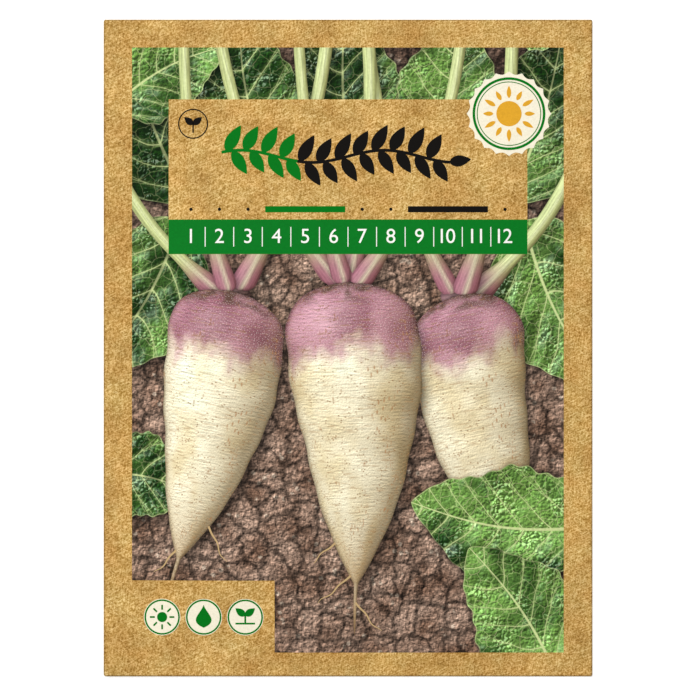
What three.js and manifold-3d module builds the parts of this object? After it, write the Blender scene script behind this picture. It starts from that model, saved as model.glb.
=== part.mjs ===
// A paper seed packet, closed and full, lying on its back.
// One sheet of kraft paper is folded into the envelope. Its side flap is tucked in under the back
// panel's free edge, and its bottom and top flaps are folded over the back panel from outside.
// In the envelope lies a sachet of two foil webs, sealed all round, with a bed of round seeds in it.
// Millimetres. +Z is up and the printed front looks up, +Y points to the packet's top edge, and +X to
// the reader's right. The origin is the middle of the outline, on the surface that the flaps rest on.
import * as THREE from "three";
import { mergeVertices } from "three/addons/utils/BufferGeometryUtils.js";
import Module from "manifold-3d";

// Envelope
const PACKET_WIDTH = 120;
const PACKET_HEIGHT = 161.3;
const PAPER = 0.2; // thickness of the sheet
const AIR = 0.1; // between two layers that lie on each other
const BOTTOM_FLAP = 16; // depth of the flap folded over the back at the bottom
const TOP_FLAP = 22; // depth of the closing flap
const FLAP_TAPER = 7; // how much each end of those two draws in towards the free edge
const FLAP_INSET = 1; // how far their folds' ends stay inside the outline
const SIDE_FLAP = 12; // width of the glued flap under the back panel's free edge
const SIDE_FLAP_TAPER = 5;
const BACK_INSET = 0.8; // the back panel ends this far inside the top and bottom folds
const BACK_EDGE = 1.2; // the back panel's free edge lies this far in from the left fold

// Crown of the front panel over the filled sachet
const CROWN = 2.75; // greatest rise above the folded edges
const CROWN_SIDE = 34; // width of the slope in from each side edge
const CROWN_BOTTOM = 40; // length of the slope up from the bottom edge
const CROWN_TOP = 88; // length of the slope down to the top edge

// Sachet
const WEB = 0.12; // thickness of the foil laminate
const WEB_GAP = 0.06; // between the two webs at the seal
const SACHET_WIDTH = 82;
const SACHET_HEIGHT = 108;
const SACHET_Y = -12; // height of its middle in the envelope
const SEAL = 6; // width of the flat seal round its edge
const PILLOW = 2.14; // rise of the upper web over the seeds
const PILLOW_SIDE = 16; // width of its slope in from each seal
const PILLOW_TOP = 60; // length of its slope down to the top seal

// Seeds
const SEED_RADIUS = 1;
const SEED_PITCH = 1.66; // between neighbours' centres, so that each is joined to the next
const SEED_JITTER = 0.07;
const SEED_BED = { y: -34, halfWidth: 11, halfLength: 6.5 };
const SEED_DRAW = 20240; // start of the seeded random draws

// Grid steps
const FRONT_COLUMNS = 18;
const FRONT_ROWS = 24;
const BACK_COLUMNS = 8;
const FOLD_STEPS = 4;
const WEB_COLUMNS = 14;
const WEB_ROWS = 18;

const material = (color, roughness, metalness) =>
  new THREE.MeshStandardMaterial({ color, roughness, metalness });
const KRAFT = material(0xc4a05e, 0.85, 0);
const FOIL = material(0xc9cbcc, 0.35, 0.9);
const SEED_COAT = material(0x3a2420, 0.6, 0);

// Heights of the middle of each paper layer, counted up from the surface
const PITCH = PAPER + AIR;
const OUTER_FLAP_Z = PAPER / 2;
const BACK_Z = OUTER_FLAP_Z + PITCH;
const SIDE_FLAP_Z = BACK_Z + PITCH;
const FRONT_RIGHT_Z = BACK_Z + PITCH;
const FRONT_LEFT_Z = SIDE_FLAP_Z + PITCH;

// Fold lines. Each fold is a half turn round a line, and the outline is where it bulges furthest.
const SIDE_FOLD_RADIUS = PITCH / 2;
const FOLD_X = PACKET_WIDTH / 2 - PAPER / 2 - SIDE_FOLD_RADIUS;

const lerp = (a, b, t) => a + (b - a) * t;
const steps = (from, to, count) =>
  Array.from({ length: count + 1 }, (_, i) => lerp(from, to, i / count));

// A smooth climb from 0 to 1 as distance goes from 0 to length
const climb = (distance, length) => {
  const t = Math.min(Math.max(distance / length, 0), 1);
  return t * t * (3 - 2 * t);
};

// Middle of the front panel at its folded edges: three layers lie under the left edge, two under the right
const edgeZ = (x) => lerp(FRONT_LEFT_Z, FRONT_RIGHT_Z, (x + FOLD_X) / (2 * FOLD_X));

// The top and bottom folds turn round the gap between the front panel and the outer flaps
const endFoldRadius = (x) => (edgeZ(x) - OUTER_FLAP_Z) / 2;
const endFoldY = (x) => PACKET_HEIGHT / 2 - PAPER / 2 - endFoldRadius(x);

const crown = (x, y) =>
  CROWN *
  climb(FOLD_X - Math.abs(x), CROWN_SIDE) *
  climb(endFoldY(x) + y, CROWN_BOTTOM) *
  climb(endFoldY(x) - y, CROWN_TOP);

// Unit normal of a surface z = height(x, y), by central differences
function normalOf(height, x, y) {
  const h = 0.01;
  const dx = (height(x + h, y) - height(x - h, y)) / (2 * h);
  const dy = (height(x, y + h) - height(x, y - h)) / (2 * h);
  return new THREE.Vector3(-dx, -dy, 1).normalize();
}

// A point of the envelope's middle surface, with the outward normal.
// A line is { zone, at }: column zones run side flap, left fold, front, right fold, back, and row zones
// run bottom flap, bottom fold, front, top fold, top flap. Outside the front, at goes from 0 where the
// zone meets the front side to 1 at its far end.
function envelopePoint(column, row) {
  if (row.zone !== "front") {
    const sign = row.zone.startsWith("top") ? 1 : -1;
    const x0 = column.at * FOLD_X;
    const radius = endFoldRadius(x0);
    if (row.zone.endsWith("Fold")) {
      const angle = row.at * Math.PI;
      return {
        point: [
          column.at * (FOLD_X - FLAP_INSET * row.at),
          sign * (endFoldY(x0) + radius * Math.sin(angle)),
          OUTER_FLAP_Z + radius * (1 + Math.cos(angle)),
        ],
        normal: [0, sign * Math.sin(angle), Math.cos(angle)],
      };
    }
    const depth = sign > 0 ? TOP_FLAP : BOTTOM_FLAP;
    return {
      point: [
        column.at * (FOLD_X - FLAP_INSET - FLAP_TAPER * row.at),
        sign * (endFoldY(x0) - depth * row.at),
        OUTER_FLAP_Z,
      ],
      normal: [0, 0, -1],
    };
  }
  if (column.zone === "front") {
    const x = column.at * FOLD_X;
    const y = row.at * endFoldY(x);
    return {
      point: [x, y, edgeZ(x) + crown(x, y)],
      normal: normalOf(crown, x, y).toArray(),
    };
  }
  if (column.zone.endsWith("Fold")) {
    const sign = column.zone.startsWith("left") ? -1 : 1;
    const angle = column.at * Math.PI;
    const foot = sign < 0 ? SIDE_FLAP_Z : BACK_Z;
    return {
      point: [
        sign * (FOLD_X + SIDE_FOLD_RADIUS * Math.sin(angle)),
        row.at * (endFoldY(sign * FOLD_X) - BACK_INSET * column.at),
        foot + SIDE_FOLD_RADIUS * (1 + Math.cos(angle)),
      ],
      normal: [sign * Math.sin(angle), 0, Math.cos(angle)],
    };
  }
  if (column.zone === "sideFlap")
    return {
      point: [
        -FOLD_X + SIDE_FLAP * column.at,
        row.at * (endFoldY(-FOLD_X) - BACK_INSET - SIDE_FLAP_TAPER * column.at),
        SIDE_FLAP_Z,
      ],
      normal: [0, 0, -1],
    };
  const x = lerp(FOLD_X, -FOLD_X + BACK_EDGE, column.at);
  return {
    point: [x, row.at * (endFoldY(FOLD_X) - BACK_INSET), BACK_Z],
    normal: [0, 0, -1],
  };
}

// A closed solid of a bent sheet: points on a grid of lines, pushed half a thickness out and in, faced
// on both sides wherever there is a cell, and closed by a rim along every edge that a cell doesn't share.
function sheetGeometry(columns, rows, place, hasCell, thickness) {
  const vertices = [];
  const index = [];
  const ids = new Map();
  const vertexAt = (i, j) => {
    const key = i * rows.length + j;
    if (!ids.has(key)) {
      const { point, normal } = place(columns[i], rows[j]);
      ids.set(key, vertices.length / 3);
      for (const side of [0.5, -0.5])
        vertices.push(...point.map((p, k) => p + side * thickness * normal[k]));
    }
    return ids.get(key);
  };
  const quad = (a, b, c, d) => index.push(a, b, c, a, c, d);
  const cell = (i, j) =>
    i >= 0 &&
    j >= 0 &&
    i < columns.length - 1 &&
    j < rows.length - 1 &&
    hasCell(i, j);
  for (let i = 0; i < columns.length - 1; i++)
    for (let j = 0; j < rows.length - 1; j++) {
      if (!cell(i, j)) continue;
      const corners = [
        [i, j],
        [i + 1, j],
        [i + 1, j + 1],
        [i, j + 1],
      ].map(([u, v]) => vertexAt(u, v));
      quad(...corners);
      quad(...corners.map((c) => c + 1).reverse());
      const beyond = [cell(i, j - 1), cell(i + 1, j), cell(i, j + 1), cell(i - 1, j)];
      beyond.forEach((shared, k) => {
        const a = corners[k];
        const b = corners[(k + 1) % 4];
        if (!shared) quad(b, a, a + 1, b + 1);
      });
    }
  return new THREE.BufferGeometry()
    .setAttribute("position", new THREE.Float32BufferAttribute(vertices, 3))
    .setIndex(index);
}

const line = (zone) => (at) => ({ zone, at });

// The folded sheet
function envelopeGeometry() {
  const turn = steps(0, 1, FOLD_STEPS).slice(1);
  const columns = [
    ...[1, 0.5].map(line("sideFlap")),
    ...[...turn].reverse().map(line("leftFold")),
    ...steps(-1, 1, FRONT_COLUMNS).map(line("front")),
    ...turn.map(line("rightFold")),
    ...steps(0, 1, BACK_COLUMNS).slice(1).map(line("back")),
  ];
  const rows = [
    ...[1, 0.5].map(line("bottomFlap")),
    ...[...turn].reverse().map(line("bottomFold")),
    ...steps(-1, 1, FRONT_ROWS).map(line("front")),
    ...turn.map(line("topFold")),
    ...[0.5, 1].map(line("topFlap")),
  ];
  const isFront = (lines, k) => lines[k].zone === "front" && lines[k + 1].zone === "front";
  return sheetGeometry(
    columns,
    rows,
    envelopePoint,
    (i, j) => isFront(columns, i) || isFront(rows, j),
    PAPER,
  );
}

// Heights of the sachet's webs: the lower one lies on the back panel, the upper one rises over the seeds
const LOWER_WEB_Z = BACK_Z + PAPER / 2 + AIR + WEB / 2;
const UPPER_WEB_Z = LOWER_WEB_Z + WEB + WEB_GAP;
const SEED_Z = LOWER_WEB_Z + WEB / 2 + WEB_GAP + SEED_RADIUS;

const pillow = (x, y) => {
  const inset = SACHET_WIDTH / 2 - SEAL - Math.abs(x);
  const up = y - (SACHET_Y - SACHET_HEIGHT / 2 + SEAL);
  const down = SACHET_Y + SACHET_HEIGHT / 2 - SEAL - y;
  return PILLOW * climb(inset, PILLOW_SIDE) * climb(up, PILLOW_SIDE) * climb(down, PILLOW_TOP);
};

// One web of the sachet as a sheet: rise(x, y) is its height above base
function webGeometry(base, rise, columns, rows) {
  const place = (column, row) => {
    const x = (column * SACHET_WIDTH) / 2;
    const y = SACHET_Y + (row * SACHET_HEIGHT) / 2;
    return { point: [x, y, base + rise(x, y)], normal: normalOf(rise, x, y).toArray() };
  };
  return sheetGeometry(steps(-1, 1, columns), steps(-1, 1, rows), place, () => true, WEB);
}

// Random numbers from 0 to 1 that are the same each run (a linear congruential generator)
function draws(start) {
  let state = start;
  return () => {
    state = (state * 1664525 + 1013904223) % 4294967296;
    return state / 4294967296;
  };
}

// Centres of the seeds: a hexagonal layer in an oval, each moved a little
function seedCentres() {
  const random = draws(SEED_DRAW);
  const rowStep = (SEED_PITCH * Math.sqrt(3)) / 2;
  const { y: middle, halfWidth, halfLength } = SEED_BED;
  const centres = [];
  for (let j = -Math.ceil(halfLength / rowStep); j <= halfLength / rowStep; j++)
    for (let i = -Math.ceil(halfWidth / SEED_PITCH) - 1; i <= halfWidth / SEED_PITCH + 1; i++) {
      const x = (i + (j % 2 === 0 ? 0 : 0.5)) * SEED_PITCH;
      const y = j * rowStep;
      if ((x / halfWidth) ** 2 + (y / halfLength) ** 2 > 1) continue;
      const shift = () => (random() - 0.5) * 2 * SEED_JITTER;
      centres.push(new THREE.Vector3(x + shift(), middle + y + shift(), SEED_Z));
    }
  return centres;
}

// The seeds as one solid: neighbours overlap a little and are joined
async function seedGeometry() {
  const wasm = await Module();
  wasm.setup();
  const ball = new THREE.IcosahedronGeometry(SEED_RADIUS, 0);
  ball.deleteAttribute("normal");
  ball.deleteAttribute("uv");
  const closed = mergeVertices(ball, 1e-4);
  const seed = new wasm.Manifold(
    new wasm.Mesh({
      numProp: 3,
      vertProperties: closed.attributes.position.array,
      triVerts: new Uint32Array(closed.index.array),
    }),
  );
  const random = draws(SEED_DRAW + 1);
  let bed = null;
  for (const centre of seedCentres()) {
    const turned = seed.rotate([0, 0, random() * 90]).translate(centre.toArray());
    bed = bed ? bed.add(turned) : turned;
  }
  const { vertProperties, triVerts } = bed.getMesh();
  return new THREE.BufferGeometry()
    .setAttribute("position", new THREE.BufferAttribute(vertProperties, 3))
    .setIndex(new THREE.BufferAttribute(triVerts, 1));
}

function named(name, geometry, finish) {
  const mesh = new THREE.Mesh(geometry, finish);
  mesh.name = name;
  return mesh;
}

const packet = new THREE.Group();
packet.add(named("envelope", envelopeGeometry(), KRAFT));
packet.add(named("sachet_lower_web", webGeometry(LOWER_WEB_Z, () => 0, 1, 1), FOIL));
packet.add(named("sachet_upper_web", webGeometry(UPPER_WEB_Z, pillow, WEB_COLUMNS, WEB_ROWS), FOIL));
packet.add(named("seeds", await seedGeometry(), SEED_COAT));

export default packet;
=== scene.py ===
"""A closed paper seed packet lying on its back, dressed for a product photograph from straight above.

The packet's frame: +Z is up and out of the printed front, +Y points to the top edge and +X to the reader's
right. Sizes inside the classes are millimetres. They become metres where a mesh is made.
The front shows a kraft border round a picture of slim two-coloured roots on dark soil, a plain label with a
green stripe, a tab, and plain pictograms and numbers as thin films of ink.
"""

import logging
import math
from collections.abc import Sequence
from dataclasses import dataclass, field
from enum import Enum

import bmesh
import bpy
import numpy as np
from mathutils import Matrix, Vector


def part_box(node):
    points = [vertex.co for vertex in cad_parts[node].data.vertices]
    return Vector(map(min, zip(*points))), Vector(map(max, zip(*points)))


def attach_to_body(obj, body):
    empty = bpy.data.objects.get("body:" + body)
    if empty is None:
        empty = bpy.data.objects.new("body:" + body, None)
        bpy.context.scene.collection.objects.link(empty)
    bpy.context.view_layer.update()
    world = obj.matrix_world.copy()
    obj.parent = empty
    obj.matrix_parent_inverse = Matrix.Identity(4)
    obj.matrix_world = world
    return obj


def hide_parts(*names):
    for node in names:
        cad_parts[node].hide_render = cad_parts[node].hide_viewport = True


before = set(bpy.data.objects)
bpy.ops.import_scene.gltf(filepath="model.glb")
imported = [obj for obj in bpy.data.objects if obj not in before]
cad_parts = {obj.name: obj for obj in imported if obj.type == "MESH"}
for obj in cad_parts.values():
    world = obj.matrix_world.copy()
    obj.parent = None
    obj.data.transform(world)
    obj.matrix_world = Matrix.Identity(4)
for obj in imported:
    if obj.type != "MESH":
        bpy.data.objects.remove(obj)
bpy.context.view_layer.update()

Array = np.ndarray
Colour = tuple[float, float, float]
MM = 0.001
BODY = "root"
log = logging.getLogger("seed_packet")


# Numbers and fields

def smooth(t: Array | float) -> Array | float:
    """Smooth step 3t^2 - 2t^3 of t held between 0 and 1."""
    t = np.clip(t, 0.0, 1.0)
    return t * t * (3 - 2 * t)


def linear(red: float, green: float, blue: float) -> Array:
    """Linear light of a display colour given as 0 to 255 for each channel."""
    c = np.array([red, green, blue]) / 255
    return np.where(c <= 0.04045, c / 12.92, ((c + 0.055) / 1.055) ** 2.4)


def rgb(red: float, green: float, blue: float) -> Colour:
    """Linear light of a display colour as plain numbers, which a node takes."""
    return tuple(linear(red, green, blue))


def blend(a: Array, b: Array, t: Array) -> Array:
    """Mixes two colours or colour fields: a where t is 0, b where t is 1."""
    return a + (b - a) * np.asarray(t)[..., None]


def cloud(x: Array, y: Array, size: float, seed: int, octaves: int = 3) -> Array:
    """Smooth random field, about -1 to 1.

    Draws on a square lattice, which repeats, are joined by smooth steps. Further octaves at half the size and
    weight are added, each moved against the last.

    Args:
        x, y: places in millimetres.
        size: distance between lattice points of the first octave.
        seed: start of the draws.
        octaves: how many sizes are summed.

    Returns:
        The field at each place.
    """
    period, move_x, move_y = 64, 17.3, 9.1
    x, y = np.broadcast_arrays(x, y)
    table = np.random.default_rng(seed).uniform(-1, 1, (period, period))
    total, weight = np.zeros(x.shape), 1.0
    for k in range(octaves):
        u, v = x / size + move_x * k, y / size + move_y * k
        i, j = np.floor(u).astype(int), np.floor(v).astype(int)
        fu, fv = smooth(u - i), smooth(v - j)
        corner = [[table[(i + a) % period, (j + b) % period] for b in (0, 1)] for a in (0, 1)]
        low = corner[0][0] + (corner[1][0] - corner[0][0]) * fu
        high = corner[0][1] + (corner[1][1] - corner[0][1]) * fu
        total += weight * (low + (high - low) * fv)
        size, weight = size / 2, weight / 2
    return total


# Meshes

def make_mesh(
    name: str, points: Array, faces: Sequence[Array], smooth_faces: Sequence[bool]
) -> bpy.types.Object:
    """Makes an object from points in millimetres and blocks of faces with equally many corners.

    Args:
        name: the object's and the mesh's name.
        points: (n, 3) places in millimetres.
        faces: blocks of vertex numbers, each (m, corners).
        smooth_faces: for each block, whether it is shaded smooth.

    Returns:
        The new object, linked to the scene.
    """
    mesh = bpy.data.meshes.new(name)
    loops = np.concatenate([block.ravel() for block in faces]).astype(np.int32)
    totals = np.concatenate([np.full(len(block), block.shape[1]) for block in faces])
    starts = np.concatenate([[0], np.cumsum(totals)[:-1]]).astype(np.int32)
    flags = np.concatenate([np.full(len(block), flag) for block, flag in zip(faces, smooth_faces)])
    mesh.vertices.add(len(points))
    mesh.vertices.foreach_set("co", (points * MM).astype(np.float32).ravel())
    mesh.loops.add(len(loops))
    mesh.loops.foreach_set("vertex_index", loops)
    mesh.polygons.add(len(starts))
    mesh.polygons.foreach_set("loop_start", starts)
    mesh.polygons.foreach_set("use_smooth", flags)
    mesh.update(calc_edges=True)
    mesh.validate()
    piece = bpy.data.objects.new(name, mesh)
    bpy.context.scene.collection.objects.link(piece)
    return piece


def add_attribute(piece: bpy.types.Object, name: str, values: Array) -> None:
    """Stores one value for each vertex: a float, a vector of 3 or a linear colour with alpha of 4.

    Args:
        piece: the mesh object.
        name: the attribute's name.
        values: (n,), (n, 3) or (n, 4) numbers.
    """
    width = 1 if values.ndim == 1 else values.shape[1]
    kind, slot = {1: ("FLOAT", "value"), 3: ("FLOAT_VECTOR", "vector"), 4: ("FLOAT_COLOR", "color")}[width]
    attribute = piece.data.attributes.new(name, kind, "POINT")
    attribute.data.foreach_set(slot, values.astype(np.float32).ravel())


@dataclass
class SheetMesh:
    """A closed solid of a bent sheet, from a grid of middle points and outward normals.

    The outer face has every grid line. The inner face has every coarse-th line, and the rim's faces join the
    two. A vertex lies at the middle point plus or minus half the thickness times the normal.
    """

    points: Array
    normals: Array
    cells: Array
    thickness: float
    coarse: int = 1

    def build(self) -> tuple[Array, list[Array], Array]:
        """Works out vertices and faces.

        Returns:
            The vertices, the outer, inner and rim faces, and each grid point's outer vertex or -1.
        """
        columns, rows = self.cells.shape
        used = np.zeros((columns + 1, rows + 1), bool)
        for di in (0, 1):
            for dj in (0, 1):
                used[di : columns + di, dj : rows + dj] |= self.cells
        outer_id = np.where(used, np.cumsum(used).reshape(used.shape) - 1, -1)
        kept = used[:: self.coarse, :: self.coarse]
        inner_id = np.where(kept, np.cumsum(kept).reshape(kept.shape) - 1 + used.sum(), -1)
        half = self.thickness / 2
        outer = (self.points + half * self.normals)[used]
        inner = (self.points - half * self.normals)[:: self.coarse, :: self.coarse][kept]
        i, j = np.nonzero(self.cells)
        top = np.stack([outer_id[i, j], outer_id[i + 1, j], outer_id[i + 1, j + 1], outer_id[i, j + 1]], 1)
        block = self.cells[:: self.coarse, :: self.coarse]
        i, j = np.nonzero(block)
        under = np.stack([inner_id[i, j + 1], inner_id[i + 1, j + 1], inner_id[i + 1, j], inner_id[i, j]], 1)
        return np.concatenate([outer, inner]), [top, under, self.rim(block, outer_id, inner_id)], outer_id

    def rim(self, block: Array, outer_id: Array, inner_id: Array) -> Array:
        """Joins the two faces along each free side of a coarse cell.

        Args:
            block: which coarse cells the sheet has.
            outer_id, inner_id: vertex numbers of the fine and of the coarse grid.

        Returns:
            Faces with the outer vertices of one side backwards and then its two inner ones.
        """
        padded = np.pad(block, 1)
        step = self.coarse
        back = np.arange(step, -1, -1)
        faces = []
        neighbours = ((0, -1), (1, 0), (0, 1), (-1, 0))
        starts = ((0, 0), (1, 0), (1, 1), (0, 1))
        directions = ((1, 0), (0, 1), (-1, 0), (0, -1))
        for (ni, nj), (si, sj), (di, dj) in zip(neighbours, starts, directions):
            free = block & ~padded[1 + ni : 1 + ni + block.shape[0], 1 + nj : 1 + nj + block.shape[1]]
            i, j = np.nonzero(free)
            i0, j0 = i + si, j + sj
            outer = outer_id[i0[:, None] * step + di * back, j0[:, None] * step + dj * back]
            faces.append(np.column_stack([outer, inner_id[i0, j0], inner_id[i0 + di, j0 + dj]]))
        return np.concatenate(faces)


# Node trees

Socket = bpy.types.NodeSocket
Value = Socket | float | Sequence[float] | Array


class Nodes:
    """Short calls that add nodes to one material."""

    def __init__(self, name: str) -> None:
        """Makes the material with only a Principled shader and its output.

        Args:
            name: the material's name.
        """
        self.material = bpy.data.materials.new(name)
        self.material.use_nodes = True
        self.tree = self.material.node_tree
        self.shader = self.tree.nodes["Principled BSDF"]

    def put(self, socket: Socket, value: Value) -> None:
        """Links a socket to an input, or sets a constant there.

        Args:
            socket: the input.
            value: another node's output, or the constant.
        """
        if isinstance(value, bpy.types.NodeSocket):
            self.tree.links.new(value, socket)
        else:
            socket.default_value = value

    def node(self, kind: str, inputs: dict[int | str, Value], **settings: object) -> bpy.types.Node:
        """Adds a node.

        Args:
            kind: Blender's name for its type.
            inputs: what goes into its inputs, by their number or name.
            settings: its other properties.

        Returns:
            The new node.
        """
        made = self.tree.nodes.new(kind)
        for key, value in settings.items():
            setattr(made, key, value)
        for key, value in inputs.items():
            self.put(made.inputs[key], value)
        return made

    def math(self, operation: str, a: Value, b: Value = 0.0, c: Value = 0.0) -> Socket:
        """One Math node."""
        return self.node("ShaderNodeMath", {0: a, 1: b, 2: c}, operation=operation).outputs[0]

    def product(self, a: Value, b: Value) -> Socket:
        """A number times another."""
        return self.math("MULTIPLY", a, b)

    def vector(self, operation: str, a: Value, b: Value = (0.0, 0.0, 0.0)) -> Socket:
        """One Vector Math node with a vector result."""
        return self.node("ShaderNodeVectorMath", {0: a, 1: b}, operation=operation).outputs[0]

    def moved(self, at: Value, by: Value) -> Socket:
        """A place moved by a vector."""
        return self.vector("ADD", at, by)

    def scaled(self, a: Value, b: Value) -> Socket:
        """A vector or colour times another, part by part."""
        return self.vector("MULTIPLY", a, b)

    def times(self, colour: Value, amount: Value) -> Socket:
        """A colour times a number."""
        return self.node("ShaderNodeVectorMath", {0: colour, "Scale": amount}, operation="SCALE").outputs[0]

    def split(self, vector: Value) -> Sequence[Socket]:
        """The three parts of a vector."""
        return self.node("ShaderNodeSeparateXYZ", {0: vector}).outputs

    def step(self, value: Value, low: Value, high: Value) -> Socket:
        """Smooth step of value, 0 at low and 1 at high, which may lie either way round."""
        inputs = {"Value": value, "From Min": low, "From Max": high}
        return self.node("ShaderNodeMapRange", inputs, interpolation_type="SMOOTHSTEP").outputs[0]

    def range(self, value: Value, low: float, high: float, to_low: float, to_high: float) -> Socket:
        """Straight change from low and high to to_low and to_high, held at the ends."""
        inputs = {"Value": value, "From Min": low, "From Max": high, "To Min": to_low, "To Max": to_high}
        return self.node("ShaderNodeMapRange", inputs).outputs[0]

    def mix(self, factor: Value, a: Value, b: Value) -> Socket:
        """Mixes two colours: a where factor is 0 and b where it is 1."""
        a, b = (v if isinstance(v, bpy.types.NodeSocket) else (*v, 1.0) for v in (a, b))
        return self.node("ShaderNodeMix", {0: factor, 6: a, 7: b}, data_type="RGBA").outputs[2]

    def choose(self, factor: Value, a: Value, b: Value) -> Socket:
        """Takes vector a where factor is 0 and b where it is 1."""
        return self.node("ShaderNodeMix", {0: factor, 4: a, 5: b}, data_type="VECTOR").outputs[1]

    def noise(self, at: Value, scale: float, detail: float = 2.0, roughness: float = 0.5) -> Socket:
        """Noise from 0 to 1 with blobs about 1 / scale wide."""
        inputs = {"Vector": at, "Scale": scale, "Detail": detail, "Roughness": roughness}
        return self.node("ShaderNodeTexNoise", inputs).outputs[0]

    def emboss(self, at: Value, shift: Value, scale: float, detail: float, roughness: float) -> Socket:
        """Noise less the same noise a shift away, which looks like fine relief lit from one side."""
        away = self.noise(self.moved(at, shift), scale, detail, roughness)
        return self.math("SUBTRACT", self.noise(at, scale, detail, roughness), away)

    def warped(self, at: Value, scale: float, detail: float, reach: float) -> Socket:
        """A place moved on its plane by noise, at most as far as reach."""
        warp = self.node("ShaderNodeTexNoise", {"Vector": at, "Scale": scale, "Detail": detail})
        return self.moved(at, self.scaled(warp.outputs["Color"], (reach, reach, 0.0)))

    def cells(self, at: Value, scale: float, feature: str = "F1") -> Socket:
        """Distance from the nearest of scattered points on a plane, or from the nearest cell's border."""
        kind, inputs = "ShaderNodeTexVoronoi", {"Vector": at, "Scale": scale}
        return self.node(kind, inputs, voronoi_dimensions="2D", feature=feature).outputs["Distance"]

    def attribute(self, name: str) -> bpy.types.Node:
        """Reads one of the piece's own attributes."""
        return self.node("ShaderNodeAttribute", {}, attribute_name=name)

    def places(self) -> Socket:
        """Object coordinates in millimetres."""
        coordinates = self.node("ShaderNodeTexCoord", {}).outputs["Object"]
        return self.scaled(coordinates, (1 / MM,) * 3)

    def bump(self, height: Socket, strength: float, distance: float) -> None:
        """Bumps the surface by a height field, distance in millimetres."""
        inputs = {"Height": height, "Strength": strength, "Distance": distance * MM}
        self.put(self.shader.inputs["Normal"], self.node("ShaderNodeBump", inputs).outputs[0])

    def tooth(self, at: Socket, strength: float, distance: float) -> None:
        """Bumps the surface by the fine tooth of paper."""
        self.bump(self.noise(at, 2.4, 4.0, 0.7), strength, distance)

    def finish(
        self, colour: Value, roughness: Value, specular: float = 0.5, metallic: float = 0.0
    ) -> bpy.types.Material:
        """Sets the shader's inputs.

        Args:
            colour: base colour, a socket or three linear numbers.
            roughness: a socket or a number.
            specular: specular level, a constant.
            metallic: a constant.

        Returns:
            The finished material.
        """
        if not isinstance(colour, bpy.types.NodeSocket):
            colour = (*colour, 1.0)
        self.put(self.shader.inputs["Base Color"], colour)
        self.put(self.shader.inputs["Roughness"], roughness)
        self.shader.inputs["Specular IOR Level"].default_value = specular
        self.shader.inputs["Metallic"].default_value = metallic
        return self.material


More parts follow.
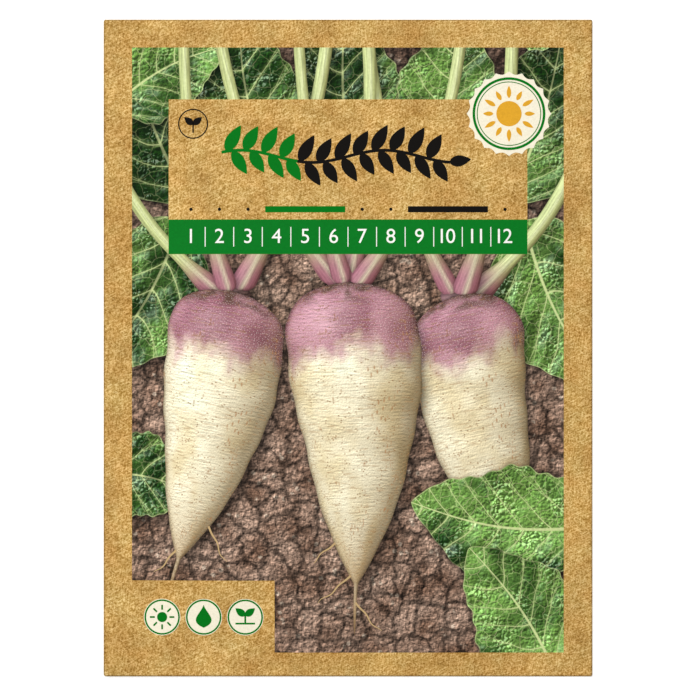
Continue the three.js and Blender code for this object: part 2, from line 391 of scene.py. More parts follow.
@dataclass(frozen=True)
class KraftPaper:
    """Unbleached kraft paper: a fine mottled grain, pale fibres, dark shives and slow drifts of tone.

    The grain runs over the three tones of the ramp. Worn and fresh are the ends of a slow drift in tone,
    reddish and yellowish those of a drift in hue, all as factors on the colour. Grain, drift and tinge are
    scales: a patch is about 1 / scale wide.
    """

    dark: Colour = (141, 99, 31)
    middle: Colour = (191, 150, 80)
    light: Colour = (235, 197, 132)
    ramp: tuple[float, float, float] = (0.33, 0.5, 0.67)
    fibre: Colour = (240, 205, 140)
    fibre_share: float = 0.65
    fibre_turns: tuple[int, ...] = (24, 81, 143)
    shive: Colour = (132, 92, 40)
    shive_share: float = 0.4
    grain: float = 2.2
    streaking: float = 0.36
    drift: float = 0.1
    worn: Colour = (0.84, 0.775, 0.69)
    fresh: Colour = (1.16, 1.225, 1.31)
    tinge: float = 0.17
    reddish: Colour = (1.035, 0.98, 0.93)
    yellowish: Colour = (0.965, 1.02, 1.07)
    roughness: float = 0.78
    half_size: tuple[float, float] = (60.0, 80.65)
    # Painted shade along the folded outline: its width, and the light left at the very edge.
    fold_line: float = 0.5
    fold_light: float = 0.4

    def fibres(self, nodes: Nodes, at: Socket, turn: int) -> Socket:
        """Thin streaks in one direction, as noise squeezed across it.

        Args:
            nodes: the material's nodes.
            at: place in millimetres.
            turn: the direction in degrees.

        Returns:
            The streaks, from 0 to 1.
        """
        inputs = {"Vector": at, "Rotation": (0.0, 0.0, math.radians(turn)), "Scale": (1.9, 0.3, 1.0)}
        turned = nodes.node("ShaderNodeMapping", inputs, vector_type="TEXTURE").outputs[0]
        return nodes.noise(turned, 1.0, 2.0, 0.6)

    def patches(self, nodes: Nodes, at: Socket, scale: float, low: Colour, high: Colour) -> Socket:
        """A tint that drifts between two tones in patches about 1 / scale wide."""
        return nodes.choose(nodes.range(nodes.noise(at, scale, 3.0, 0.55), 0.3, 0.7, 0.0, 1.0), low, high)

    def fold_shade(self, nodes: Nodes, at: Socket) -> Socket:
        """Painted shade along the packet's folded outline, darker where the folds turn from the light.

        Args:
            nodes: the material's nodes.
            at: place in millimetres.

        Returns:
            The light left there, 1 away from the outline.
        """
        x, y, _ = nodes.split(at)
        from_side = nodes.math("SUBTRACT", self.half_size[0], nodes.math("ABSOLUTE", x))
        from_end = nodes.math("SUBTRACT", self.half_size[1], nodes.math("ABSOLUTE", y))
        nearest = nodes.math("MINIMUM", from_side, from_end)
        return nodes.range(nearest, 0.0, self.fold_line, self.fold_light, 1.0)

    def colour(self, nodes: Nodes, at: Socket) -> Socket:
        """The paper's colour: ramp grain and streaks, fibres, shives, both drifts and painted fold shade.

        Args:
            nodes: the material's nodes.
            at: place in millimetres.

        Returns:
            The colour.
        """
        grain = nodes.noise(at, self.grain, 4.0, 0.76)
        streaks = [self.fibres(nodes, at, turn) for turn in self.fibre_turns]
        both = nodes.math("ADD", streaks[0], streaks[1])
        mottle = nodes.math("ADD", grain, nodes.math("MULTIPLY_ADD", both, self.streaking, -self.streaking))
        ramp = nodes.node("ShaderNodeValToRGB", {0: mottle})
        stops = ramp.color_ramp.elements
        stops.new(0.5)
        for stop, place, tone in zip(stops, self.ramp, (self.dark, self.middle, self.light)):
            stop.position = place
            stop.color = (*rgb(*tone), 1.0)
        bright = nodes.step(nodes.math("MAXIMUM", streaks[0], streaks[2]), 0.61, 0.72)
        colour = nodes.mix(nodes.product(bright, self.fibre_share), ramp.outputs[0], rgb(*self.fibre))
        woody = nodes.step(streaks[1], 0.33, 0.24)
        colour = nodes.mix(nodes.product(woody, self.shive_share), colour, rgb(*self.shive))
        colour = nodes.scaled(colour, self.patches(nodes, at, self.drift, self.worn, self.fresh))
        colour = nodes.scaled(colour, self.patches(nodes, at, self.tinge, self.reddish, self.yellowish))
        return nodes.times(colour, self.fold_shade(nodes, at))

    def plain(self, name: str) -> bpy.types.Material:
        """The bare sheet: its back, its inside, its flaps and its cut edges.

        Args:
            name: the material's name.

        Returns:
            The finished material.
        """
        nodes = Nodes(name)
        at = nodes.places()
        nodes.tooth(at, 0.35, 0.03)
        return nodes.finish(self.colour(nodes, at), self.roughness, 0.15)


@dataclass(frozen=True)
class Ink:
    """A film of printing ink with a faint unevenness of tone."""

    tone: Colour
    roughness: float = 0.6

    def material(self, name: str) -> bpy.types.Material:
        """Builds the ink's material.

        Args:
            name: the material's name.

        Returns:
            The finished material.
        """
        nodes = Nodes(name)
        at = nodes.places()
        patch = nodes.range(nodes.noise(at, 2.2, 3.0, 0.7), 0.25, 0.75, 0.88, 1.1)
        nodes.tooth(at, 0.2, 0.02)
        return nodes.finish(nodes.times(rgb(*self.tone), patch), self.roughness, 0.06)


# The folded sheet

@dataclass
class Lines:
    """Grid lines across one direction of the sheet, in five runs: flap, fold, front, fold and flap.

    Outside the front, a line's number goes from 0, where the run meets the front's side, to 1 at its far end.
    On the front it goes from -1 to 1.
    """

    counts: tuple[int, int, int, int, int]

    @property
    def at(self) -> Array:
        """Works out the lines' numbers.

        Returns:
            The numbers, one after another.
        """
        far_a, fold_a, _, fold_b, far_b = (np.arange(1, count + 1) / count for count in self.counts)
        front = np.linspace(-1, 1, self.counts[2] + 1)
        return np.concatenate([far_a[::-1], fold_a[::-1], front, fold_b, far_b])

    def run(self, k: int) -> slice:
        """Finds the lines of one run, the front's with both its end lines.

        Args:
            k: the run's number, 0 to 4.

        Returns:
            The slice of the lines.
        """
        starts = np.concatenate([[0], np.cumsum(self.counts)])
        starts[3:] += 1
        return slice(int(starts[k]), int(starts[k + 1]))

    def front_cells(self) -> Array:
        """For each gap between lines, whether it lies on the front."""
        return np.repeat([False, False, True, False, False], self.counts)

    def spread(self, shares: Sequence[float], margin: float = 0.012) -> Array:
        """Places of the lines on the sheet's map after its margin, each run taking its share."""
        steps = np.concatenate([np.full(count, share / count) for count, share in zip(self.counts, shares)])
        return margin + np.concatenate([[0.0], np.cumsum(steps)])


@dataclass
class Envelope:
    """The kraft sheet: front panel, folds, back panel, side flap under it, and bottom and top flaps over it.

    The crown is the front's rise over the sachet, with the lengths over which it rises from each side. Each
    crease is given as (x, y, angle, length), and the shares of the map by runs of lines.
    """

    paper: float = 0.2
    air: float = 0.1
    bottom_flap: float = 16.0
    top_flap: float = 22.0
    flap_taper: float = 7.0
    flap_inset: float = 1.0
    side_flap: float = 12.0
    side_flap_taper: float = 5.0
    back_inset: float = 0.8
    back_edge: float = 1.2
    back_sag: float = 0.12
    corner_reach: float = 0.2
    crown: float = 2.75
    crown_side: float = 34.0
    crown_bottom: float = 40.0
    crown_top: float = 88.0
    sachet_half: tuple[float, float] = (41.0, 54.0)
    sachet_y: float = -12.0
    sachet_rise: float = 0.03
    wave: float = 0.035
    crease: float = 0.1
    creases: tuple[tuple[float, float, float, float], ...] = (
        (-30, -42, 222, 26), (31, -44, -44, 24), (-26, 30, 128, 34), (27, 34, 55, 30),
    )
    columns: Lines = field(default_factory=lambda: Lines((4, 8, 212, 8, 48)))
    rows: Lines = field(default_factory=lambda: Lines((8, 8, 284, 8, 8)))
    coarse: int = 4
    column_shares: tuple[float, ...] = (0.03, 0.006, 0.585, 0.006, 0.345)
    row_shares: tuple[float, ...] = (0.07, 0.006, 0.79, 0.006, 0.1)

    def __post_init__(self) -> None:
        """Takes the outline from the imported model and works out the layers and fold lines."""
        low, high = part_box("envelope")
        self.width, self.height = (high.x - low.x) / MM, (high.y - low.y) / MM
        pitch = self.paper + self.air
        self.outer_flap_z = self.paper / 2
        self.back_z = self.outer_flap_z + pitch
        self.side_flap_z = self.back_z + pitch
        self.front_right_z = self.back_z + pitch
        self.front_left_z = self.side_flap_z + pitch
        self.side_fold_radius = pitch / 2
        self.fold_x = self.width / 2 - self.paper / 2 - self.side_fold_radius

    def edge_z(self, x: Array) -> Array:
        """Height of the front's middle at its folded edges, straight from the left one to the right one."""
        t = (x + self.fold_x) / (2 * self.fold_x)
        return self.front_left_z + (self.front_right_z - self.front_left_z) * t

    def end_radius(self, x: Array) -> Array:
        """Radius of the top and bottom folds: half the height from the outer flaps to the front."""
        return (self.edge_z(x) - self.outer_flap_z) / 2

    def end_y(self, x: Array) -> Array:
        """Distance of the top and bottom fold lines from the middle."""
        return self.height / 2 - self.paper / 2 - self.end_radius(x)

    def relief(self, x: Array, y: Array) -> Array:
        """Small forms that the sachet and handling leave in the front.

        A soft rise over the sachet's outline, slow waves, and shallow creases that run out from the crown's
        corners. All of it fades out towards the folded edges.

        Args:
            x, y: places on the front.

        Returns:
            The height that is added.
        """
        inside = smooth((self.fold_x - np.abs(x)) / 12) * smooth((self.end_y(x) - np.abs(y)) / 12)
        half_x, half_y = self.sachet_half
        over = smooth((half_x - np.abs(x)) / 1.6) * smooth((half_y - np.abs(y - self.sachet_y)) / 1.6)
        waves = self.wave * cloud(x, y, 26, 11, 2)
        creased = 0.0
        for x0, y0, angle, reach in self.creases:
            a = math.radians(angle)
            along = (x - x0) * math.cos(a) + (y - y0) * math.sin(a)
            across = -(x - x0) * math.sin(a) + (y - y0) * math.cos(a)
            fade = smooth(along / 8) * smooth((reach - along) / 10)
            creased += self.crease * fade * np.exp(-((across + 1.2 * np.sin(along / 7)) / 1.5) ** 2)
        return inside * (self.sachet_rise * over + waves + creased)

    def front_z(self, x: Array, y: Array) -> Array:
        """Height of the front's middle: its edges' height, the crown and the small relief.

        Args:
            x, y: places on the front.

        Returns:
            The height.
        """
        crown = self.crown * smooth((self.fold_x - np.abs(x)) / self.crown_side)
        crown = crown * smooth((self.end_y(x) + y) / self.crown_bottom)
        crown = crown * smooth((self.end_y(x) - y) / self.crown_top)
        return self.edge_z(x) + crown + self.relief(x, y)

    def back_middle_z(self, x: Array, y: Array) -> Array:
        """Height of the back panel's middle: flat, sagging in slow waves between the outer flaps.

        Args:
            x, y: places on the back, in the packet's frame.

        Returns:
            The height.
        """
        free = smooth((self.end_y(x) - self.top_flap - 2 - y) / 14)
        free = free * smooth((y + self.end_y(x) - self.bottom_flap - 2) / 14)
        sag = self.back_sag * free * smooth(0.6 + 0.6 * cloud(x, y, 30, 5, 2))
        return self.back_z - sag * smooth((self.fold_x - np.abs(x)) / 8)

    def surface(self) -> tuple[Array, Array]:
        """Works out the whole sheet, folded.

        Each fold is half a turn round its fold line: out by the sine and down by one plus the cosine of the
        angle. Its ends reach into the packet's corners at mid-turn and draw in after it. The flaps are flat
        and narrow towards their free edges.

        Returns:
            Middle points and outward normals on the whole grid.
        """
        c, r = self.columns, self.rows
        shape = (len(c.at), len(r.at))
        points, normals = np.zeros((*shape, 3)), np.zeros((*shape, 3))

        def write(
            column_run: int, row_run: int, xyz: Sequence[Array], normal: Sequence[Array | float]
        ) -> None:
            """Puts one block into the grid.

            Args:
                column_run, row_run: numbers of its runs.
                xyz: the three parts of its places.
                normal: the three parts of its normals.
            """
            block = (c.run(column_run), r.run(row_run))
            size = points[block].shape[:2]
            points[block] = np.stack([np.broadcast_to(v, size) for v in xyz], 2)
            normals[block] = np.stack([np.broadcast_to(v, size) for v in normal], 2)

        def numbers(column_run: int, row_run: int) -> tuple[Array, Array]:
            """Line numbers of one block, ready to broadcast."""
            return c.at[c.run(column_run)][:, None], r.at[r.run(row_run)][None, :]

        u, v = numbers(2, 2)
        x = u * self.fold_x
        y = v * self.end_y(x)
        h = 0.05
        slope_x = (self.front_z(x + h, y) - self.front_z(x - h, y)) / (2 * h)
        slope_y = (self.front_z(x, y + h) - self.front_z(x, y - h)) / (2 * h)
        size = np.sqrt(slope_x**2 + slope_y**2 + 1)
        write(2, 2, (x, y, self.front_z(x, y)), (-slope_x / size, -slope_y / size, 1 / size))
        down = (0.0, 0.0, -1.0)
        for side, fold_run, foot in ((-1, 1, self.side_flap_z), (1, 3, self.back_z)):
            u, v = numbers(fold_run, 2)
            turn = u * np.pi
            x = side * (self.fold_x + self.side_fold_radius * np.sin(turn))
            inset = self.back_inset * np.clip(2 * u - 1, 0, 1) - self.corner_reach * np.sin(turn)
            y = v * (self.end_y(np.array(side * self.fold_x)) - inset)
            z = foot + self.side_fold_radius * (1 + np.cos(turn))
            write(fold_run, 2, (x, y, z), (side * np.sin(turn), 0.0, np.cos(turn)))
        u, v = numbers(0, 2)
        y = v * (self.end_y(np.array(-self.fold_x)) - self.back_inset - self.side_flap_taper * u)
        write(0, 2, (-self.fold_x + self.side_flap * u, y, np.array(self.side_flap_z)), down)
        u, v = numbers(4, 2)
        x = self.fold_x + (-2 * self.fold_x + self.back_edge) * u
        y = v * (self.end_y(np.array(self.fold_x)) - self.back_inset) + 0 * u
        write(4, 2, (x, y, self.back_middle_z(x + 0 * y, y)), down)
        for side, fold_run, flap_run, depth in ((-1, 1, 0, self.bottom_flap), (1, 3, 4, self.top_flap)):
            u, v = numbers(2, fold_run)
            x0, turn = u * self.fold_x, v * np.pi
            radius = self.end_radius(x0)
            y = side * (self.end_y(x0) + radius * np.sin(turn))
            z = self.outer_flap_z + radius * (1 + np.cos(turn))
            inset = self.flap_inset * np.clip(2 * v - 1, 0, 1) - self.corner_reach / 2 * np.sin(turn)
            x = u * (self.fold_x - inset)
            write(2, fold_run, (x, y, z), (0.0, side * np.sin(turn), np.cos(turn)))
            u, v = numbers(2, flap_run)
            x = u * (self.fold_x - self.flap_inset - self.flap_taper * v)
            y = side * (self.end_y(u * self.fold_x) - depth * v)
            write(2, flap_run, (x, y, np.array(self.outer_flap_z)), down)
        return points, normals

    def build(self, painting: "Painting", finishes: Sequence[bpy.types.Material]) -> bpy.types.Object:
        """Makes the sheet, stores the painting's layers on its front and lays out its map.

        Args:
            painting: the picture, worked out at the front's grid points.
            finishes: the printed front's material, then the bare sheet's.

        Returns:
            The envelope.
        """
        points, normals = self.surface()
        cells = self.columns.front_cells()[:, None] | self.rows.front_cells()[None, :]
        sheet = SheetMesh(points, normals, cells, self.paper, self.coarse)
        vertices, faces, outer_id = sheet.build()
        piece = make_mesh("kraft_envelope", vertices, faces, (True, True, False))
        front = (self.columns.run(2), self.rows.run(2))
        ids = outer_id[front]
        for name, values in painting.layers(points[front][..., 0], points[front][..., 1]).items():
            stored = np.zeros((len(vertices), *values.shape[2:]))
            stored[ids] = values
            add_attribute(piece, name, stored)
        for finish in finishes:
            piece.data.materials.append(finish)
        i, j = np.nonzero(cells)
        printed = self.columns.front_cells()[i] & self.rows.front_cells()[j]
        slots = np.ones(sum(map(len, faces)), np.int32)
        slots[: len(i)] = np.where(printed, 0, 1)
        piece.data.polygons.foreach_set("material_index", slots)
        self.lay_out(piece, faces, outer_id)
        return piece

    def lay_out(self, piece: bpy.types.Object, faces: Sequence[Array], outer_id: Array) -> None:
        """Gives the sheet its map: the outer face as the flat sheet, the inner face small in a free corner.

        Args:
            piece: the envelope.
            faces: its blocks of outer, inner and rim faces.
            outer_id: each grid point's outer vertex, or -1.
        """
        u, v = self.columns.spread(self.column_shares), self.rows.spread(self.row_shares)
        grid = np.stack(np.broadcast_arrays(u[:, None], v[None, :]), 2)
        place = np.zeros((len(piece.data.vertices), 2))
        place[outer_id[outer_id >= 0]] = grid[outer_id >= 0]
        kept = outer_id[:: self.coarse, :: self.coarse] >= 0
        small = grid[:: self.coarse, :: self.coarse][kept] * (0.33, 0.095) + (0.65, 0.893)
        place[int((outer_id >= 0).sum()) :] = small
        corners = np.concatenate([place[block].reshape(-1, 2) for block in faces[:2]])
        rim = place[faces[2]]
        rim[:, -2] = rim[:, -3] + 0.001
        rim[:, -1] = rim[:, 0] + 0.001
        layer = piece.data.uv_layers.new(name="OFBake")
        layer.data.foreach_set("uv", np.concatenate([corners, rim.reshape(-1, 2)]).astype(np.float32).ravel())


# The printed picture

LIGHT = np.array([-0.48, 0.56, 0.68])
LIGHT = LIGHT / np.linalg.norm(LIGHT)
SHADOW_SHIFT = (-1.9, 2.3)
TOWARDS_LIGHT = (-0.22, 0.26, 0.0)


def shade(colour: Array, bright: Array, shine: Array, gloss: Colour = (255, 250, 240)) -> Array:
    """A colour under that brightness, warmer where it is dim, with a highlight of the gloss colour on top."""
    return colour * bright[..., None] ** np.array([0.88, 1.0, 1.16]) + shine[..., None] * linear(*gloss)


def lit(
    normal_x: Array, normal_y: Array, normal_z: Array, gloss: float, tightness: float
) -> tuple[Array, Array]:
    """Works out the light on a pictured surface.

    Args:
        normal_x, normal_y, normal_z: its unit normals.
        gloss: strength of the highlight.
        tightness: power of the highlight.

    Returns:
        The diffuse brightness, which wraps a little past the light's edge, and the highlight.
    """
    facing = normal_x * LIGHT[0] + normal_y * LIGHT[1] + normal_z * LIGHT[2]
    half = LIGHT + (0, 0, 1)
    half = half / np.linalg.norm(half)
    shine = np.clip(normal_x * half[0] + normal_y * half[1] + normal_z * half[2], 0, 1)
    return 0.32 + 0.96 * np.clip((facing + 0.15) / 1.15, 0, 1), gloss * shine**tightness


@dataclass(frozen=True)
class Stroke:
    """A pictured shape along a bent middle line.

    Local places run along the line from 0 to 1 and across it in millimetres.
    """

    start: tuple[float, float]
    angle: float
    length: float
    half_width: float
    bend: float = 0.0
    seed: int = 1

    def axes(self) -> tuple[float, float, float, float]:
        """Directions along and across. Angle 0 points down, and a positive one turns to the right."""
        a = math.radians(self.angle)
        return math.sin(a), -math.cos(a), math.cos(a), math.sin(a)

    def local(self, x: Array, y: Array) -> tuple[Array, Array]:
        """Turns places on the front into local ones.

        Args:
            x, y: places on the front.

        Returns:
            The share of the length along the line, and the distance across from it, bent as a sine.
        """
        ax, ay, bx, by = self.axes()
        dx, dy = x - self.start[0], y - self.start[1]
        along = (dx * ax + dy * ay) / self.length
        across = dx * bx + dy * by - self.bend * np.sin(np.pi * np.clip(along, -0.2, 1.3))
        return along, across

    def reach(self, along: Array, side: Array) -> Array:
        """Half width at a place along. Each kind of shape has its own."""
        raise NotImplementedError

    def slope(self, along: Array, side: Array) -> Array:
        """Change of the half width for each millimetre along."""
        h = 0.004
        return (self.reach(along + h, side) - self.reach(along - h, side)) / (2 * h * self.length)

    def gap(self, x: Array, y: Array) -> Array:
        """Distance outside the outline: across less the half width, over the outline's slope.

        Args:
            x, y: places on the front.

        Returns:
            The distance, negative inside.
        """
        along, across = self.local(x, y)
        side = np.sign(across)
        beyond = np.abs(across) - self.reach(along, side)
        return beyond / np.sqrt(1 + self.slope(along, side) ** 2)

    def paint(self, x: Array, y: Array) -> tuple[Array, Array]:
        """Colours and local map at each place. Each kind of shape has its own."""
        raise NotImplementedError


@dataclass(frozen=True)
class Root(Stroke):
    """A slim root: a quarter-round shoulder, a body that narrows as a power of a cosine, and a thin tail."""

    violet_share: float = 0.3

    def reach(self, along: Array, side: Array) -> Array:
        """Half width of the body and tail, with shallow rings and a slow unevenness.

        Args:
            along: place along the line.
            side: -1 or 1, the side of the line.

        Returns:
            The half width, negative above the shoulder.
        """
        s = np.clip(along, 0, 1)
        shoulder = np.sqrt(np.clip(1 - (1 - np.clip(along / 0.17, 0, 1)) ** 2.2, 0, 1))
        body = self.half_width * shoulder * np.cos(np.pi / 2 * s**1.25) ** 0.82
        tail = 1.05 * np.clip((1.32 - along) / 0.7, 0, 1) * smooth(along / 0.3)
        uneven = 1 + 0.02 * np.sin(15 * along + self.seed) + 0.012 * np.sin(43 * along + 2 * side + self.seed)
        return np.where(along > 0, np.hypot(body, tail) * uneven, along * self.length)

    def paint(self, x: Array, y: Array) -> tuple[Array, Array]:
        """Violet shoulder running raggedly into cream, browner at the tail, shaded as a round body.

        Args:
            x, y: places on the front.

        Returns:
            Colours, and the map: millimetres around and along, and how violet it is.
        """
        along, across = self.local(x, y)
        side = np.sign(across)
        slope = np.clip(self.slope(along, side), -0.8, 2.5)
        r = np.clip(across / np.maximum(self.reach(along, side), 0.3), -1, 1)
        up = np.sqrt(1 - r * r)
        size = np.sqrt(slope**2 + 1)
        n_along, n_across, n_up = -slope / size, r / size, up / size
        ax, ay, bx, by = self.axes()
        normal = (n_along * ax + n_across * bx, n_along * ay + n_across * by, n_up)
        length = np.sqrt(sum(c * c for c in normal))
        bright, shine = lit(*(c / length for c in normal), 0.16, 14)
        around, millimetres = np.arcsin(r) * self.half_width, along * self.length
        ragged = 0.045 * cloud(around, millimetres * 0.35, 5, self.seed, 3)
        ragged = ragged + 0.02 * cloud(around, millimetres, 1.6, self.seed + 7, 2)
        violet = smooth((self.violet_share + ragged - along) / 0.13)
        patch = cloud(around, millimetres, 9, self.seed + 3, 3)
        cream = blend(linear(249, 240, 208), linear(231, 214, 170), smooth(0.35 + 0.6 * patch))
        cream = blend(cream, linear(196, 162, 118), smooth((along - 0.7) / 0.5))
        purple = blend(linear(198, 146, 156), linear(150, 96, 108), smooth(0.45 + 0.55 * patch))
        scars = smooth(0.5 + 1.1 * cloud(around * 0.3, millimetres, 1.5, self.seed + 5, 2))
        scars = np.maximum(scars * smooth((6.5 - millimetres) / 5), smooth((0.05 - along) / 0.06))
        purple = blend(purple, linear(96, 70, 60), scars)
        colour = blend(cream, purple, violet)
        bright = bright * (0.62 + 0.38 * smooth(up / 0.62))
        return shade(colour, bright, shine * (1 - 0.3 * violet)), np.stack([around, millimetres, violet], -1)


@dataclass(frozen=True)
class Neck(Stroke):
    """The stub on a root's top, ringed by the scars of old leaf stalks."""

    def reach(self, along: Array, side: Array) -> Array:
        """Half width: narrower upwards, with a ragged edge.

        Args:
            along: place along the line.
            side: -1 or 1, the side of the line.

        Returns:
            The half width, negative past either end.
        """
        width = self.half_width * (1 - 0.28 * along + 0.05 * np.sin(17 * along + 3 * side + self.seed))
        outside = np.maximum(along - 1, -along) * self.length
        return np.where(outside > 0, -outside, width)

    def paint(self, x: Array, y: Array) -> tuple[Array, Array]:
        """Grey-brown and violet bands, bowed across, with dark gaps between them.

        Args:
            x, y: places on the front.

        Returns:
            Colours, and the map: millimetres across and along, and 0.
        """
        along, across = self.local(x, y)
        r = np.clip(across / self.half_width, -1, 1)
        millimetres = along * self.length
        bowed = millimetres + 1.4 * r**2 + 0.5 * cloud(x, y, 2.4, self.seed, 2)
        band = 0.5 + 0.5 * np.sin(2 * np.pi * bowed / 1.7)
        _, _, bx, by = self.axes()
        bright, shine = lit(0.85 * r * bx, 0.85 * r * by, np.sqrt(1 - (0.85 * r) ** 2), 0.08, 10)
        colour = blend(linear(62, 44, 40), linear(158, 124, 116), smooth(band))
        violet = 0.5 * smooth(0.4 + cloud(x, y, 3, self.seed + 2, 2))
        colour = blend(colour, linear(176, 128, 140), violet)
        return shade(colour, bright, shine), np.stack([across, millimetres, 0 * along], -1)


@dataclass(frozen=True)
class Leaf(Stroke):
    """An oval leaf on a stalk, with a waved edge, a folded blade, and side veins at even steps."""

    stalk: float = 14.0
    veins: float = 6.5
    tone: float = 0.0

    def reach(self, along: Array, side: Array) -> Array:
        """Half width: a power of a sine of a power, waved at its edge, and the stalk's before it.

        Args:
            along: place along the line.
            side: -1 or 1, the side of the line.

        Returns:
            The half width, negative past either end.
        """
        s = np.clip(along, 0, 1)
        blade = np.sin(np.pi * s**0.72) ** 0.72
        wave = 1 + 0.06 * np.sin(2 * np.pi * (2.6 * s + 0.17 * self.seed) + 1.3 * side)
        wave = wave + 0.028 * np.sin(2 * np.pi * (9.5 * s + 0.31 * self.seed) + 2.1 * side)
        stalk = 1.0 * smooth((along * self.length + self.stalk) / 1.5) * (1 - smooth(along / 0.25))
        width = np.maximum(self.half_width * blade * wave, stalk)
        outside = np.maximum(along - 1, -along - self.stalk / self.length) * self.length
        return np.where(outside > 0, -outside, width)

    def paint(self, x: Array, y: Array) -> tuple[Array, Array]:
        """Green blade shaded by its fold, by bulges between the veins and by its waved rim.

        Args:
            x, y: places on the front.

        Returns:
            Colours, and the map: share along, share of the half width across, and the side veins' count.
        """
        along, across = self.local(x, y)
        part = across / self.half_width
        lean = 0.75 * np.abs(across) + 0.018 * across**2
        count = self.veins * (along - lean / self.length) + 0.25 * np.tanh(across / 3)
        count = count + 0.13 * cloud(x, y, 8, self.seed + 20, 2)
        off = np.abs(count - np.floor(count) - 0.5)
        fold = 0.30 * np.abs(across) - 0.009 * across**2
        bulge = 0.40 * np.cos(2 * np.pi * (count - 0.5)) * smooth(np.abs(part) * 2.2)
        rim = 1.5 * np.sin(2 * np.pi * (1.7 * along + 0.2 * self.seed)) * part**2 * np.sign(across)
        height = fold - bulge + rim + 0.75 * cloud(x, y, 6, self.seed + 40, 3)
        pitch_x, pitch_y = np.diff(x, axis=0).mean(), np.diff(y, axis=1).mean()
        slope_x, slope_y = np.gradient(height, pitch_x, pitch_y)
        size = np.sqrt(slope_x**2 + slope_y**2 + 1)
        bright, shine = lit(-slope_x / size, -slope_y / size, 1 / size, 0.22, 44)
        patch = smooth(0.45 + 0.6 * cloud(x, y, 11, self.seed + 60, 3) + self.tone)
        colour = blend(linear(24, 62, 12), linear(120, 164, 78), patch)
        colour = blend(colour, linear(160, 186, 110), 0.35 * np.exp(-((off / 0.1) ** 2)))
        colour = blend(colour, linear(176, 198, 118), smooth((0.05 - along) / 0.1))
        colour = shade(colour, bright, shine, (206, 224, 204))
        return colour, np.stack([along, part, count], -1)


@dataclass(frozen=True)
class Stalk(Stroke):
    """A leaf stalk: a narrow strip, violet at its foot and pale green above, with a groove along it."""

    def reach(self, along: Array, side: Array) -> Array:
        """Half width, wider at the rounded foot.

        Args:
            along: place along the line.
            side: the side of the line, which changes nothing here.

        Returns:
            The half width, negative past either end.
        """
        foot = np.sqrt(np.clip(along * self.length / 1.8, 0, 1))
        width = self.half_width * (1 + 0.9 * smooth((0.22 - along) / 0.2)) * (0.45 + 0.55 * foot)
        outside = np.maximum(along - 1, -along) * self.length
        return np.where(outside > 0, -outside, width)

    def paint(self, x: Array, y: Array) -> tuple[Array, Array]:
        """Pale green shaded as a half round strip with a groove.

        Args:
            x, y: places on the front.

        Returns:
            Colours, and the map: millimetres across and along, and 0.
        """
        along, across = self.local(x, y)
        r = np.clip(across / np.maximum(self.reach(along, 0.0), 0.3), -1, 1)
        groove = np.exp(-((r + 0.1) / 0.22) ** 2)
        _, _, bx, by = self.axes()
        n_across = np.clip(0.9 * r + 0.5 * (r + 0.1) * groove, -0.95, 0.95)
        bright, shine = lit(n_across * bx, n_across * by, np.sqrt(1 - n_across**2), 0.12, 16)
        colour = blend(linear(170, 110, 122), linear(206, 216, 146), smooth((along - 0.04) / 0.2))
        colour = blend(colour, linear(236, 240, 196), 0.5 * groove)
        return shade(colour, bright, shine), np.stack([across, along * self.length, 0 * along], -1)


class Kind(Enum):
    """What a layer of the picture shows, which decides its fine detail."""

    LEAVES = 1
    STALKS = 2
    ROOTS = 3
    NECKS = 4


@dataclass(frozen=True)
class Layer:
    """Shapes of one kind, later ones over earlier ones, with their shadow's depth and their own light."""

    name: str
    kind: Kind
    shapes: tuple[Stroke, ...]
    shade: float = 0.6
    light: float = 1.0

    def gap(self, x: Array, y: Array) -> Array:
        """Distance outside the nearest shape."""
        return np.minimum.reduce([shape.gap(x, y) for shape in self.shapes])

    def shadow(self, x: Array, y: Array) -> Array:
        """Works out the layer's shadow: its shapes moved away from the light, and a close dark rim.

        Args:
            x, y: places on the front.

        Returns:
            The light left on what lies below.
        """
        moved = self.gap(x + SHADOW_SHIFT[0], y + SHADOW_SHIFT[1])
        close = self.gap(x, y)
        return (1 - self.shade * smooth((1.6 - moved) / 4.2)) * (1 - 0.45 * smooth((1.1 - close) / 1.6))

    def paint(self, x: Array, y: Array) -> tuple[Array, Array, Array]:
        """Paints the shapes, at each place the topmost one that covers it, or else the nearest.

        Args:
            x, y: places on the front.

        Returns:
            Colours, local map and distance outside.
        """
        gaps = np.stack([shape.gap(x, y) for shape in self.shapes])
        order = np.arange(len(self.shapes))[:, None, None]
        covering = np.where(gaps < 0, order, -1).max(0)
        chosen = np.where(covering >= 0, covering, gaps.argmin(0))
        colour, local = np.zeros((*x.shape, 3)), np.zeros((*x.shape, 3))
        for k, shape in enumerate(self.shapes):
            mask = chosen == k
            painted, mapped = shape.paint(x, y)
            edge = 1 - 0.35 * smooth((gaps[k] + 0.7) / 0.7)
            for above in range(k + 1, len(self.shapes)):
                edge = edge * (1 - 0.5 * smooth((1.4 - gaps[above]) / 1.8))
            colour[mask], local[mask] = (painted * edge[..., None])[mask], mapped[mask]
        return colour, local, gaps.min(0)


def fan(x: float, y: float, ends: Sequence[tuple[float, float, float]], seed: int) -> tuple[Stalk, ...]:
    """Makes stalks that leave one crown.

    Args:
        x, y: the crown's middle.
        ends: each stalk's angle from straight up, length and bend.
        seed: the first stalk's, from which the widths follow as well.

    Returns:
        The stalks.
    """
    stalks = []
    for k, (angle, length, bend) in enumerate(ends, seed):
        foot = (x + 0.11 * angle, y - 0.04 * abs(angle))
        stalks.append(Stalk(foot, 180 - angle, length, 1.35 + 0.13 * (k % 4), bend, k))
    return tuple(stalks)


